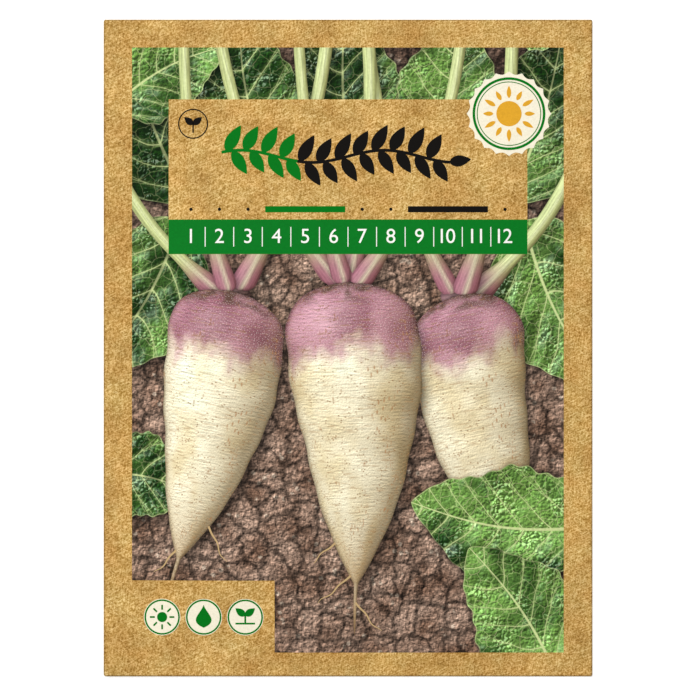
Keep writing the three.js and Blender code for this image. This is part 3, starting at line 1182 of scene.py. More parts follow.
@dataclass(frozen=True)
class Painting:
    """The picture in the printed window: slim roots in a row on dark soil, with leaves round them.

    The soil is dimmer by the share dim at the top, under the leaves.
    """

    dim: float = 0.6
    stack: tuple[Layer, ...] = (
        Layer("leaves_1", Kind.LEAVES, (
            Leaf((-39, 36), 200, 44, 15, 2, 3, 10, 7, -0.25),
            Leaf((39, 36), 162, 44, 15, -2, 5, 10, 7, -0.2),
            Leaf((0, 48), 181, 36, 14, 1, 6, 10, 6.5, -0.35),
        ), 0.7, 0.62),
        Layer("leaves_2", Kind.LEAVES, (
            Leaf((-20, 46), 190, 38, 13, 2, 13, 8, 6, -0.05),
            Leaf((19, 45), 168, 38, 13, -2, 15, 8, 6, 0.0),
            Leaf((-41, 31), -32, 46, 13.5, 3, 9, 12, 6.5, -0.1),
            Leaf((43, 31), 27, 48, 14.5, -3, 11, 12, 6.5, -0.1),
        ), 0.7, 0.85),
        Layer("leaves_3", Kind.LEAVES, (
            Leaf((-57, 60), 118, 30, 11, 2, 17, 8, 6, 0.15),
            Leaf((56, 80), 250, 34, 12, -2, 21, 8, 6, 0.12),
            Leaf((-64, -31), 80, 27, 11, 2, 27, 8, 5, 0.15),
        ), 0.75),
        Layer("necks", Kind.NECKS, (
            Neck((-28.6, 9), 176, 8.5, 5.2, 0, 3),
            Neck((27.4, 8), 184, 8.5, 5.0, 0, 7),
            Neck((0, 11), 180, 8.8, 5.8, 0, 12),
        ), 0.4),
        Layer("stalks_1", Kind.STALKS, (
            *fan(-28.4, 15, ((-33, 58, 5), (17, 78, -5)), 21),
            *fan(27.2, 14, ((32, 58, -5), (-16, 78, 5)), 31),
            *fan(0, 17, ((-24, 74, 6), (3, 72, -3)), 41),
        ), 0.5),
        Layer("stalks_2", Kind.STALKS, (
            *fan(-28.4, 14.2, ((-8, 78, 4),), 24),
            *fan(27.2, 13.2, ((9, 78, -4),), 34),
            *fan(0, 16.2, ((-9, 74, 3), (21, 74, -6)), 44),
        ), 0.5),
        Layer("roots_back", Kind.ROOTS, (
            Root((-28.8, 14), -11, 67, 14.8, 2.2, 2, 0.31),
            Root((27.6, 13), 12, 69, 14.4, -2.4, 5, 0.28),
        ), 0.66),
        Layer("root_front", Kind.ROOTS, (Root((0, 16), 1.5, 74, 16.8, 1.6, 9, 0.3),), 0.66),
        Layer("leaf_front_1", Kind.LEAVES, (Leaf((60, -44), 262, 45, 15, 3, 19, 10, 7, 0.1),), 0.78),
        Layer("leaf_front_2", Kind.LEAVES, (Leaf((52, -82), 214, 40, 13.5, -2, 23, 8, 6.5, 0.2),), 0.78),
    )

    def layers(self, x: Array, y: Array) -> dict[str, Array]:
        """What the front's mesh stores for the picture.

        Args:
            x, y: places of the front's grid points.

        Returns:
            The light left on the soil, and for each layer a colour, whose alpha is the distance outside its
            shapes, and its local map.
        """
        shadows = [layer.shadow(x, y) for layer in self.stack]
        stored = {"soil_light": np.prod(shadows, 0) * (1 - self.dim * smooth((y - 20) / 40))}
        for k, layer in enumerate(self.stack):
            colour, local, gap = layer.paint(x, y)
            above = np.prod(shadows[k + 1 :], 0) if k + 1 < len(self.stack) else np.ones_like(gap)
            colour = np.clip(colour * (layer.light * above)[..., None], 0, 1)
            stored[layer.name] = np.concatenate([colour, gap[..., None]], -1)
            stored[layer.name + "_map"] = local
        return stored


@dataclass(frozen=True)
class Rectangle:
    """A printed area by its lowest and highest corners."""

    x0: float
    y0: float
    x1: float
    y1: float


@dataclass(frozen=True)
class PrintedFront:
    """The printed front's finish: kraft border, picture, label with its stripe, and tab."""

    kraft: KraftPaper
    painting: Painting
    window: Rectangle = Rectangle(-53.0, -74.75, 52.95, 73.75)
    label: Rectangle = Rectangle(-44.0, 23.0, 44.0, 61.0)
    stripe: Rectangle = Rectangle(-44.0, 23.0, 44.0, 31.5)
    tab: Rectangle = Rectangle(-53.3, -75.0, -18.0, -57.0)
    green: Colour = (0, 116, 30)
    edge: float = 0.04
    margin: float = 0.8

    def inside(self, nodes: Nodes, at: Socket, area: Rectangle) -> Socket:
        """Tells whether a place is in an area, by the least distance to its four sides.

        Args:
            nodes: the material's nodes.
            at: place in millimetres.
            area: the printed area.

        Returns:
            1 inside and 0 outside.
        """
        x, y, _ = nodes.split(at)
        left, right = nodes.math("SUBTRACT", x, area.x0), nodes.math("SUBTRACT", area.x1, x)
        low, high = nodes.math("SUBTRACT", y, area.y0), nodes.math("SUBTRACT", area.y1, y)
        least = nodes.math("MINIMUM", nodes.math("MINIMUM", left, right), nodes.math("MINIMUM", low, high))
        return nodes.step(least, -self.edge, self.edge)

    def shows(self, line: Array) -> bool:
        """Tells whether a flat path stays in the picture, clear of its border and of the tab.

        Args:
            line: flat places along the path.

        Returns:
            Whether all of it does.
        """
        x, y = line[:, 0], line[:, 1]
        window, tab, margin = self.window, self.tab, self.margin
        held = (x > window.x0 + margin) & (x < window.x1 - margin) & (y > window.y0 + margin)
        clear = (x > tab.x1 + margin) | (y > tab.y1 + margin)
        return bool((held & clear).all())

    def soil(self, nodes: Nodes, flat: Socket) -> Socket:
        """Dark crumbly soil: clods with dark gaps, crumbs lit from the upper left, and paler bits.

        Args:
            nodes: the material's nodes.
            flat: place on the front.

        Returns:
            The colour.
        """
        bent = nodes.warped(flat, 0.4, 3.0, 3.2)
        clods = nodes.step(nodes.cells(bent, 0.16, "DISTANCE_TO_EDGE"), 0.0, 0.16)
        crumbs = nodes.step(nodes.cells(bent, 0.55, "DISTANCE_TO_EDGE"), 0.0, 0.3)
        gaps = nodes.product(nodes.range(clods, 0, 1, 0.3, 1), nodes.range(crumbs, 0, 1, 0.5, 1))
        fine = nodes.emboss(flat, (-0.26, 0.32, 0.0), 0.42, 6.0, 0.7)
        relief = nodes.product(nodes.range(fine, -0.12, 0.12, 0.2, 2.0), gaps)
        crisp = nodes.emboss(flat, TOWARDS_LIGHT, 1.25, 5.0, 0.75)
        relief = nodes.product(relief, nodes.range(crisp, -0.2, 0.2, 0.35, 1.75))
        patch = nodes.range(nodes.noise(flat, 0.13, 4.0), 0.35, 0.65, 0, 1)
        colour = nodes.mix(patch, rgb(118, 90, 73), rgb(172, 143, 124))
        pebble = nodes.step(nodes.cells(flat, 0.42), 0.30, 0.16)
        pebble = nodes.product(pebble, nodes.step(nodes.noise(flat, 0.21), 0.56, 0.62))
        colour = nodes.mix(nodes.product(pebble, 0.7), colour, rgb(196, 178, 158))
        return nodes.times(nodes.times(colour, relief), nodes.attribute("soil_light").outputs["Fac"])

    def veined(self, nodes: Nodes, flat: Socket, colour: Socket, local: Socket, gap: Socket) -> Socket:
        """A leaf's fine detail: blisters with glints, a net of veins, forked side veins, midrib and rim.

        Args:
            nodes: the material's nodes.
            flat: place on the front.
            colour: the painted colour.
            local: the leaf's local map.
            gap: distance outside the leaf.

        Returns:
            The colour with its detail.
        """
        along, part, count = nodes.split(local)
        part = nodes.math("ABSOLUTE", part)
        grey = nodes.node("ShaderNodeRGBToBW", {0: colour}).outputs[0]
        pale = nodes.times(rgb(212, 224, 156), nodes.range(grey, 0.0, 0.16, 0.22, 1.0))
        bent = nodes.warped(flat, 0.5, 2.0, 1.8)
        crinkle = nodes.emboss(flat, TOWARDS_LIGHT, 0.9, 4.0, 0.7)
        colour = nodes.times(colour, nodes.range(crinkle, -0.15, 0.15, 0.5, 1.5))
        lit_side = nodes.cells(nodes.moved(bent, TOWARDS_LIGHT), 1.15)
        blisters = nodes.math("SUBTRACT", lit_side, nodes.cells(bent, 1.15))
        rough = nodes.noise(nodes.moved(flat, (5.0, 2.0, 0.0)), 0.13, 3.0)
        blisters = nodes.product(blisters, nodes.range(rough, 0.4, 0.6, 0.3, 1.0))
        colour = nodes.times(colour, nodes.range(blisters, -0.24, 0.24, 0.42, 1.55))
        colour = nodes.times(colour, nodes.range(nodes.noise(flat, 2.6, 3.0, 0.75), 0.25, 0.75, 0.72, 1.28))
        glossy = nodes.step(nodes.noise(flat, 0.17, 3.0), 0.46, 0.6)
        glint = nodes.product(nodes.step(blisters, 0.1, 0.24), nodes.product(glossy, 0.85))
        sheen = nodes.mix(0.3, nodes.times(colour, 2.3), rgb(216, 232, 210))
        colour = nodes.mix(glint, colour, sheen)
        net = nodes.step(nodes.cells(bent, 0.34, "DISTANCE_TO_EDGE"), 0.055, 0.0)
        colour = nodes.mix(nodes.product(net, 0.4), colour, pale)
        fork = nodes.product(nodes.step(part, 0.42, 1.1), 0.22)
        off = nodes.math("ABSOLUTE", nodes.math("SUBTRACT", nodes.math("FRACT", count), 0.5))
        off = nodes.math("ABSOLUTE", nodes.math("SUBTRACT", off, fork))
        thin = nodes.range(part, 0, 1, 0.042, 0.016)
        side = nodes.step(off, thin, nodes.product(thin, 0.25))
        side = nodes.product(side, nodes.range(part, 0, 1, 0.8, 0.3))
        width = nodes.range(along, 0, 1, 0.042, 0.009)
        rib = nodes.product(nodes.step(part, width, nodes.product(width, 0.4)), 0.9)
        streaks = nodes.range(nodes.noise(flat, 1.6, 3.0, 0.7), 0.3, 0.7, 0.8, 1.15)
        colour = nodes.mix(nodes.math("MAXIMUM", side, rib), colour, nodes.times(pale, streaks))
        return nodes.mix(nodes.product(nodes.step(gap, -0.36, -0.1), 0.45), colour, pale)

    def skinned(self, nodes: Nodes, colour: Socket, local: Socket) -> Socket:
        """A root's fine detail: wrinkles and rings across it, specks, marks in patches, and a fine grain.

        Args:
            nodes: the material's nodes.
            colour: the painted colour.
            local: the root's local map.

        Returns:
            The colour with its detail.
        """
        flat = nodes.scaled(local, (1.0, 1.0, 0.0))
        violet = nodes.split(local)[2]
        shift, squeeze = (-0.12, -0.2, 0.0), (0.3, 1.9, 0.0)
        near = nodes.noise(nodes.scaled(flat, squeeze), 1.0, 3.0, 0.6)
        away = nodes.noise(nodes.scaled(nodes.moved(flat, shift), squeeze), 1.0, 3.0, 0.6)
        worn = nodes.range(nodes.noise(flat, 0.11, 2.0), 0.4, 0.6, 0.35, 1.0)
        wrinkles = nodes.product(nodes.math("SUBTRACT", near, away), worn)
        colour = nodes.times(colour, nodes.range(wrinkles, -0.14, 0.14, 0.72, 1.26))
        pores = nodes.emboss(flat, shift, 1.9, 4.0, 0.7)
        colour = nodes.times(colour, nodes.range(pores, -0.16, 0.16, 0.8, 1.17))
        rings = nodes.noise(nodes.scaled(flat, (0.16, 1.5, 0.0)), 1.0, 4.0, 0.6)
        rings = nodes.product(nodes.step(rings, 0.54, 0.66), 0.45)
        colour = nodes.mix(rings, colour, rgb(164, 126, 82))
        sparse = nodes.step(nodes.noise(flat, 0.3), 0.48, 0.58)
        specks = nodes.step(nodes.cells(nodes.scaled(flat, (0.55, 1.0, 0.0)), 1.0), 0.22, 0.1)
        specks = nodes.product(nodes.product(specks, sparse), 0.65)
        colour = nodes.mix(specks, colour, rgb(138, 94, 52))
        patches = nodes.step(nodes.noise(nodes.moved(flat, (9.0, 4.0, 0.0)), 0.09, 2.0), 0.53, 0.62)
        marks = nodes.step(nodes.cells(nodes.scaled(flat, (0.75, 0.36, 0.0)), 1.0), 0.26, 0.12)
        marks = nodes.product(nodes.product(marks, patches), 0.6)
        colour = nodes.mix(marks, colour, rgb(166, 112, 66))
        dots = nodes.step(nodes.cells(nodes.moved(flat, (3.7, 1.9, 0.0)), 1.5), 0.19, 0.08)
        pale = nodes.product(dots, nodes.product(violet, 0.6))
        colour = nodes.mix(pale, colour, rgb(240, 218, 212))
        return nodes.times(colour, nodes.range(nodes.noise(flat, 2.6, 4.0, 0.75), 0.25, 0.75, 0.82, 1.18))

    def streaked(self, nodes: Nodes, colour: Socket, local: Socket) -> Socket:
        """A stalk's fine detail: streaks along it and a fine grain.

        Args:
            nodes: the material's nodes.
            colour: the painted colour.
            local: the stalk's local map.

        Returns:
            The colour with its detail.
        """
        streaks = nodes.noise(nodes.scaled(local, (2.6, 0.13, 0.0)), 1.0, 3.0, 0.6)
        grain = nodes.noise(nodes.scaled(local, (1.0, 1.0, 0.0)), 1.6, 4.0, 0.7)
        colour = nodes.times(colour, nodes.range(streaks, 0.32, 0.68, 0.66, 1.2))
        return nodes.times(colour, nodes.range(grain, 0.3, 0.7, 0.88, 1.1))

    def picture(self, nodes: Nodes, flat: Socket) -> Socket:
        """Lays the painting's layers over the soil, then adds each kind's fine detail on top.

        Args:
            nodes: the material's nodes.
            flat: place on the front.

        Returns:
            The colour.
        """
        colour, local, marks = self.soil(nodes, flat), (0.0, 0.0, 0.0), (0.0, 1.0, 0.0)
        for layer in self.painting.stack:
            stored = nodes.attribute(layer.name)
            gap = stored.outputs["Alpha"]
            colour = nodes.mix(nodes.step(gap, self.edge, -self.edge), colour, stored.outputs["Color"])
            covered = nodes.math("LESS_THAN", gap, 0.0)
            local = nodes.choose(covered, local, nodes.attribute(layer.name + "_map").outputs["Vector"])
            mark = nodes.node("ShaderNodeCombineXYZ", {0: float(layer.kind.value), 1: gap}).outputs[0]
            marks = nodes.choose(covered, marks, mark)
        kind, gap, _ = nodes.split(marks)
        ragged = nodes.range(nodes.noise(flat, 1.1, 5.0, 0.7), 0.3, 0.7, 0.7, 1.25)
        detailed = {
            Kind.LEAVES: self.veined(nodes, flat, colour, local, gap),
            Kind.ROOTS: self.skinned(nodes, colour, local),
            Kind.STALKS: self.streaked(nodes, colour, local),
            Kind.NECKS: nodes.times(colour, ragged),
        }
        for which, finer in detailed.items():
            colour = nodes.mix(nodes.math("COMPARE", kind, float(which.value), 0.1), colour, finer)
        return colour

    def material(self) -> bpy.types.Material:
        """Builds the whole print from the paper up.

        Returns:
            The finished material.
        """
        nodes = Nodes("printed_front")
        at = nodes.places()
        picture = self.picture(nodes, nodes.scaled(at, (1.0, 1.0, 0.0)))
        paper = self.kraft.colour(nodes, at)
        grain = nodes.range(nodes.noise(at, 1.7, 4.0, 0.7), 0.3, 0.7, 0.9, 1.08)
        stripe = nodes.times(rgb(*self.green), grain)
        colour = nodes.mix(self.inside(nodes, at, self.window), paper, picture)
        for area, print_colour in ((self.label, paper), (self.tab, paper), (self.stripe, stripe)):
            colour = nodes.mix(self.inside(nodes, at, area), colour, print_colour)
        nodes.tooth(at, 0.25, 0.03)
        return nodes.finish(colour, 0.6, 0.08)


# Ink films

INK_GREEN = (0, 114, 24)
PAPER_SLOT = "kraft_paper"


@dataclass(frozen=True)
class Ground:
    """The face of the envelope that an ink lies on, as its reader sees it: x to the right and y up."""

    envelope: Envelope
    back: bool = False

    def lay(self, flat: Array, lift: float) -> Array:
        """Puts printed points on the paper.

        Args:
            flat: their flat places.
            lift: their height over the paper in millimetres.

        Returns:
            Their places in the packet's frame.
        """
        x, y = flat[:, 0], flat[:, 1]
        half = self.envelope.paper / 2
        if self.back:
            return np.stack([-x, y, self.envelope.back_middle_z(-x, y) - half - lift], 1)
        return np.stack([x, y, self.envelope.front_z(x, y) + half + lift], 1)


@dataclass
class InkPrint:
    """Marks of one ink on one face, each a thin closed film that follows the paper, joined into one piece.

    A film stands up to step over its ground and is sunk into it. One of level 1 lies over those of level 0.
    Its edges are about edge long at most, so that it bends with the paper.
    """

    name: str
    ground: Ground
    ink: Ink
    level: int = 0
    step: float = 0.025
    sunk: float = 0.01
    edge: float = 1.2
    cap_share: float = 0.73
    parts: list[tuple[Array, Array, float]] = field(default_factory=list)

    def grid(self, places: Array, wrap: bool = False, lift: float = 0.0) -> "InkPrint":
        """Adds a mark from a grid of flat places.

        Args:
            places: (along, across, 2) millimetres, with across on the left of along.
            wrap: whether the last row along joins the first.
            lift: its height over the ink's other marks.

        Returns:
            The print itself.
        """
        along, across = places.shape[:2]
        i, j = np.meshgrid(np.arange(along - (not wrap)), np.arange(across - 1), indexing="ij")
        k = (i + 1) % along
        corners = (i * across + j, k * across + j, k * across + j + 1, i * across + j + 1)
        quads = np.stack(corners, -1).reshape(-1, 4)
        triangles = np.concatenate([quads[:, [0, 1, 2]], quads[:, [0, 2, 3]]])
        self.parts.append((places.reshape(-1, 2), triangles, lift))
        return self

    def strip(
        self, line: Array, half_width: Array | float, across: int = 3, lift: float = 0.0
    ) -> "InkPrint":
        """Adds a line of ink.

        Args:
            line: flat points along its middle.
            half_width: one number, or one for each point.
            across: count of points from side to side.
            lift: its height over the ink's other marks.

        Returns:
            The print itself.
        """
        along = np.gradient(line, axis=0)
        along = along / np.linalg.norm(along, axis=1)[:, None]
        left = np.stack([-along[:, 1], along[:, 0]], 1) * np.broadcast_to(half_width, len(line))[:, None]
        t = np.linspace(-1, 1, across)
        return self.grid(line[:, None, :] + t[None, :, None] * left[:, None, :], lift=lift)

    def bar(self, x0: float, y0: float, x1: float, y1: float, width: float) -> "InkPrint":
        """Adds a straight line of ink between two points.

        Args:
            x0, y0, x1, y1: the points.
            width: the line's whole width.

        Returns:
            The print itself.
        """
        count = max(2, int(math.hypot(x1 - x0, y1 - y0) / self.edge) + 1)
        line = np.linspace((x0, y0), (x1, y1), count)
        return self.strip(line, width / 2, 3 if width < 3 else 5)

    def leaf(
        self, x: float, y: float, angle: float, length: float, half_width: float, lift: float = 0.0
    ) -> "InkPrint":
        """Adds a pointed leaf, whose half width is a power of a sine.

        Args:
            x, y: the point where it starts.
            angle: its direction in degrees from +X.
            length, half_width: its size.
            lift: its height over the ink's other marks.

        Returns:
            The print itself.
        """
        t = np.linspace(0, 1, 12)
        a = math.radians(angle)
        line = np.array([x, y]) + t[:, None] * length * np.array([math.cos(a), math.sin(a)])
        return self.strip(line, 0.03 + half_width * np.sin(np.pi * t**0.8) ** 0.9, 5, lift)

    def ring(
        self, x: float, y: float, outer: float, inner: float = 0.02, waves: int = 0, depth: float = 0.0
    ) -> "InkPrint":
        """Adds a ring or, where inner is left out, a disc.

        Args:
            x, y: its middle.
            outer, inner: its radii.
            waves: count of scallops on its outer edge, or 0 for none.
            depth: the scallops' depth, as a share of the radius.

        Returns:
            The print itself.
        """
        turn = np.linspace(0, 2 * np.pi, max(24, int(outer * 8), waves * 6), endpoint=False)[::-1]
        edge = outer * (1 - depth * np.abs(np.sin(waves * turn / 2))) if waves else outer + 0 * turn
        part = np.linspace(0, 1, 2 + int((outer - inner) / self.edge))
        radius = inner + part[None, :] * (edge[:, None] - inner)
        places = np.stack([x + radius * np.cos(turn)[:, None], y + radius * np.sin(turn)[:, None]], -1)
        return self.grid(places, wrap=True)

    def number(self, value: int, x: float, y: float, height: float) -> "InkPrint":
        """Adds a plain number.

        Args:
            value: the number.
            x, y: its middle.
            height: the digits' height.

        Returns:
            The print itself.
        """
        curve = bpy.data.curves.new("number", "FONT")
        curve.body, curve.size = str(value), height / self.cap_share
        curve.align_x, curve.align_y, curve.resolution_u = "CENTER", "CENTER", 4
        curve.space_character = 0.86
        text = bpy.data.objects.new("number", curve)
        bpy.context.scene.collection.objects.link(text)
        bpy.context.view_layer.update()
        mesh = bpy.data.meshes.new_from_object(text.evaluated_get(bpy.context.evaluated_depsgraph_get()))
        bpy.data.objects.remove(text)
        net = bmesh.new()
        net.from_mesh(mesh)
        bmesh.ops.remove_doubles(net, verts=net.verts, dist=1e-4)
        for _ in range(2):
            long = [edge for edge in net.edges if edge.calc_length() > self.edge]
            bmesh.ops.subdivide_edges(net, edges=long, cuts=1)
        bmesh.ops.triangulate(net, faces=net.faces)
        net.to_mesh(mesh)
        net.free()
        flat, corners = np.empty(3 * len(mesh.vertices)), np.empty(3 * len(mesh.polygons), np.int64)
        mesh.vertices.foreach_get("co", flat)
        mesh.polygons.foreach_get("vertices", corners)
        flat = flat.reshape(-1, 3)[:, :2]
        middle = (flat[:, 0].min() + flat[:, 0].max()) / 2
        self.parts.append((flat + (x - middle, y), corners.reshape(-1, 3), 0.0))
        return self

    def build(self) -> bpy.types.Object:
        """Turns every mark into a closed film: a top, the same below it, and a wall along each free edge.

        Returns:
            The piece.
        """
        low, high = self.level * self.step - self.sunk, (self.level + 1) * self.step
        points, faces, walls, start = [], [], [], 0
        for flat, triangles, lift in self.parts:
            n = len(flat)
            edges = np.concatenate([triangles[:, [0, 1]], triangles[:, [1, 2]], triangles[:, [2, 0]]])
            free = edges[~np.isin(edges[:, 0] * n + edges[:, 1], edges[:, 1] * n + edges[:, 0])]
            a, b = free[:, 0] + start, free[:, 1] + start
            points += [self.ground.lay(flat, high + lift), self.ground.lay(flat, low)]
            faces += [triangles + start, triangles[:, ::-1] + start + n]
            walls.append(np.stack([a + n, b + n, b, a], 1))
            start += 2 * n
        blocks = [np.concatenate(faces), np.concatenate(walls)]
        piece = make_mesh(self.name, np.concatenate(points), blocks, (False, False))
        piece.data.materials.append(self.ink.material(self.name))
        return piece


@dataclass(frozen=True)
class FrontMarks:
    """The front's plain marks: a month scale, a sprig, a round seal and small pictograms."""

    ground: Ground
    print_finish: PrintedFront
    green: Ink = Ink(INK_GREEN)
    black: Ink = Ink((16, 13, 11))
    white: Ink = Ink((247, 246, 240))
    cream: Ink = Ink((244, 236, 212))
    gold: Ink = Ink((222, 164, 44))
    hair: Ink = Ink((196, 166, 118))
    month_pitch: float = 7.0
    number_height: float = 3.7
    tick_reach: float = 2.4
    bar_y: float = 34.0
    bar_width: float = 1.5
    sprig_y: float = 47.0
    seal: tuple[float, float, float] = (39.5, 57.5, 10.4)
    signs: tuple[tuple[float, float], ...] = ((-45.6, -66.0), (-35.4, -66.0), (-25.2, -66.0))
    sign_line: float = 0.42
    label_sign: tuple[float, float] = (-38.0, 55.0)

    def months(self) -> list[InkPrint]:
        """Numbers 1 to 12 on the stripe, and above them a green and a black bar for sowing and picking.

        Returns:
            The numbers' and both bars' prints.
        """
        stripe, pitch, reach = self.print_finish.stripe, self.month_pitch, self.tick_reach
        middle = (stripe.y0 + stripe.y1) / 2
        numbers = InkPrint("month_numbers", self.ground, self.white)
        for month in range(1, 13):
            x = (month - 6.5) * pitch
            numbers.number(month, x, middle, self.number_height)
            if month < 12:
                numbers.bar(x + pitch / 2, middle - reach, x + pitch / 2, middle + reach, 0.22)
        sowing = InkPrint("sowing_bar", self.ground, self.green)
        picking = InkPrint("picking_bar", self.ground, self.black)
        sowing.bar(-2.9 * pitch, self.bar_y, -0.1 * pitch, self.bar_y, self.bar_width)
        picking.bar(2.1 * pitch, self.bar_y, 4.9 * pitch, self.bar_y, self.bar_width)
        for month in range(12):
            x = (month - 5.5) * pitch
            if not -3 * pitch < x < 0 and not 2 * pitch < x < 5 * pitch:
                picking.ring(x, self.bar_y, 0.4)
        return [numbers, sowing, picking]

    def stem_y(self, x: Array | float) -> Array | float:
        """Height of the sprig's waved stem."""
        return self.sprig_y + 1.5 * np.sin(x / 5.6)

    def sprig(self) -> list[InkPrint]:
        """A long waved stem with pairs of leaves, green in its left part and black in its right part.

        Returns:
            Both parts' prints.
        """
        left = InkPrint("sprig_left", self.ground, self.green)
        right = InkPrint("sprig_right", self.ground, self.black)
        pitch, start, turn, end = 4.5, -31.0, -12.4, 25.0
        for ink, x0, x1 in ((left, start, turn), (right, turn, end)):
            x = np.linspace(x0, x1, int((x1 - x0) * 2))
            ink.strip(np.stack([x, self.stem_y(x)], 1), 0.36, lift=0.012)
        for k, x in enumerate(np.arange(start + 1.0, end - 3.0, pitch)):
            ink = left if x < turn - 1.7 else right
            size = 7.4 - 0.6 * (k % 2)
            ink.leaf(x, self.stem_y(x), 60, size, 1.55)
            ink.leaf(x + 1.6, self.stem_y(x + 1.6), -58, size * 0.92, 1.45)
        right.leaf(end - 0.2, self.stem_y(end), 8, 5.4, 1.35, 0.006)
        return [left, right]

    def round_seal(self) -> list[InkPrint]:
        """A scalloped cream disc with a green ring and a gold sun in it.

        Returns:
            The disc's, the rings' and the sun's prints.
        """
        x, y, radius = self.seal
        disc = InkPrint("seal_disc", self.ground, self.cream)
        disc.ring(x, y, radius, waves=20, depth=0.07)
        rings = InkPrint("seal_rings", self.ground, self.green, 1)
        rings.ring(x, y, radius * 0.86, radius * 0.80).ring(x, y, radius * 0.76, radius * 0.74)
        sun = InkPrint("seal_sun", self.ground, self.gold, 1)
        sun.ring(x, y, radius * 0.30)
        for k in range(12):
            a = 30 * k
            start = radius * 0.37
            foot_x, foot_y = x + start * math.cos(math.radians(a)), y + start * math.sin(math.radians(a))
            sun.leaf(foot_x, foot_y, a, radius * (0.29 if k % 2 else 0.24), radius * 0.05)
        return [disc, rings, sun]

    def pictograms(self) -> list[InkPrint]:
        """Three ringed signs on the tab, for sun, water and sowing, and a ringed sprout on the label.

        Returns:
            The discs', the signs' and the label sign's prints.
        """
        discs = InkPrint("sign_discs", self.ground, self.cream)
        signs = InkPrint("signs", self.ground, self.green, 1)
        for x, y in self.signs:
            discs.ring(x, y, 4.5)
            signs.ring(x, y, 4.35, 3.95)
        (sun_x, sun_y), (drop_x, drop_y), (sow_x, sow_y) = self.signs
        signs.ring(sun_x, sun_y, 1.25)
        for k in range(8):
            c, s = math.cos(math.radians(45 * k)), math.sin(math.radians(45 * k))
            signs.bar(sun_x + 1.8 * c, sun_y + 1.8 * s, sun_x + 3.0 * c, sun_y + 3.0 * s, self.sign_line)
        t = np.linspace(0, 1, 14)
        drop = np.stack([drop_x + 0 * t, drop_y + 3.0 - 5.6 * t], 1)
        signs.strip(drop, 0.03 + 1.9 * np.sin(np.pi * t**1.7) ** 0.8, 5)
        signs.bar(sow_x - 2.4, sow_y - 1.6, sow_x + 2.4, sow_y - 1.6, self.sign_line)
        signs.bar(sow_x, sow_y - 1.6, sow_x, sow_y + 0.6, self.sign_line)
        signs.leaf(sow_x, sow_y + 0.3, 38, 3.0, 0.85).leaf(sow_x, sow_y + 0.3, 142, 3.0, 0.85)
        label = InkPrint("label_sign", self.ground, self.black)
        x, y = self.label_sign
        label.ring(x, y, 3.7, 3.4).bar(x, y - 2.2, x, y + 0.2, 0.36)
        label.leaf(x, y - 0.2, 40, 2.8, 0.8).leaf(x, y - 0.2, 140, 2.8, 0.8)
        return [discs, signs, label]

    def rootlets(self) -> list[InkPrint]:
        """Hair roots that leave the pictured roots' tails in slow waves and thin out, where they show.

        Returns:
            Their print.
        """
        hairs = InkPrint("rootlets", self.ground, self.hair)
        draws = np.random.default_rng(3)
        stack = self.print_finish.painting.stack
        for k, layer in enumerate(stack):
            for root in layer.shapes if layer.kind is Kind.ROOTS else ():
                for along in (0.86, 0.97, 1.06, 1.14):
                    line = self.rootlet(root, along, draws)
                    covered = any(cover.gap(line[:, 0], line[:, 1]).min() < 0.5 for cover in stack[k + 1 :])
                    if not covered and self.print_finish.shows(line):
                        hairs.strip(line, 0.2 * (1 - np.linspace(0, 1, len(line))) ** 0.7 + 0.05)
        return [hairs]

    def rootlet(self, root: Root, along: float, draws: np.random.Generator) -> Array:
        """One hair root's path: straight on the whole, with a wave that grows towards its end.

        Args:
            root: the root that it leaves.
            along: where it leaves, as a share of the root's length.
            draws: source of its side, angle, length and wave.

        Returns:
            Flat places along the hair.
        """
        side = draws.choice((-1, 1))
        turn = math.radians(root.angle + side * draws.uniform(28, 62))
        length = draws.uniform(5, 11)
        ax, ay, bx, by = root.axes()
        start = np.array(root.start) + along * root.length * np.array([ax, ay])
        reach = float(root.reach(np.array(along), np.array(side))) - 0.3
        start = start + (side * max(reach, 0.0) + root.bend * math.sin(math.pi * along)) * np.array([bx, by])
        t = np.linspace(0, 1, 16)
        ahead = np.array([math.sin(turn), -math.cos(turn)])
        wave = 0.5 * np.sin(2 * np.pi * t * length / 6 + draws.uniform(0, 6)) * t
        return start + t[:, None] * length * ahead + wave[:, None] * np.array([-ahead[1], ahead[0]])

    def build(self) -> None:
        """Builds every mark and attaches it to the packet."""
        prints = (*self.months(), *self.sprig(), *self.round_seal(), *self.pictograms(), *self.rootlets())
        for ink_print in prints:
            attach(ink_print.build(), PAPER_SLOT)


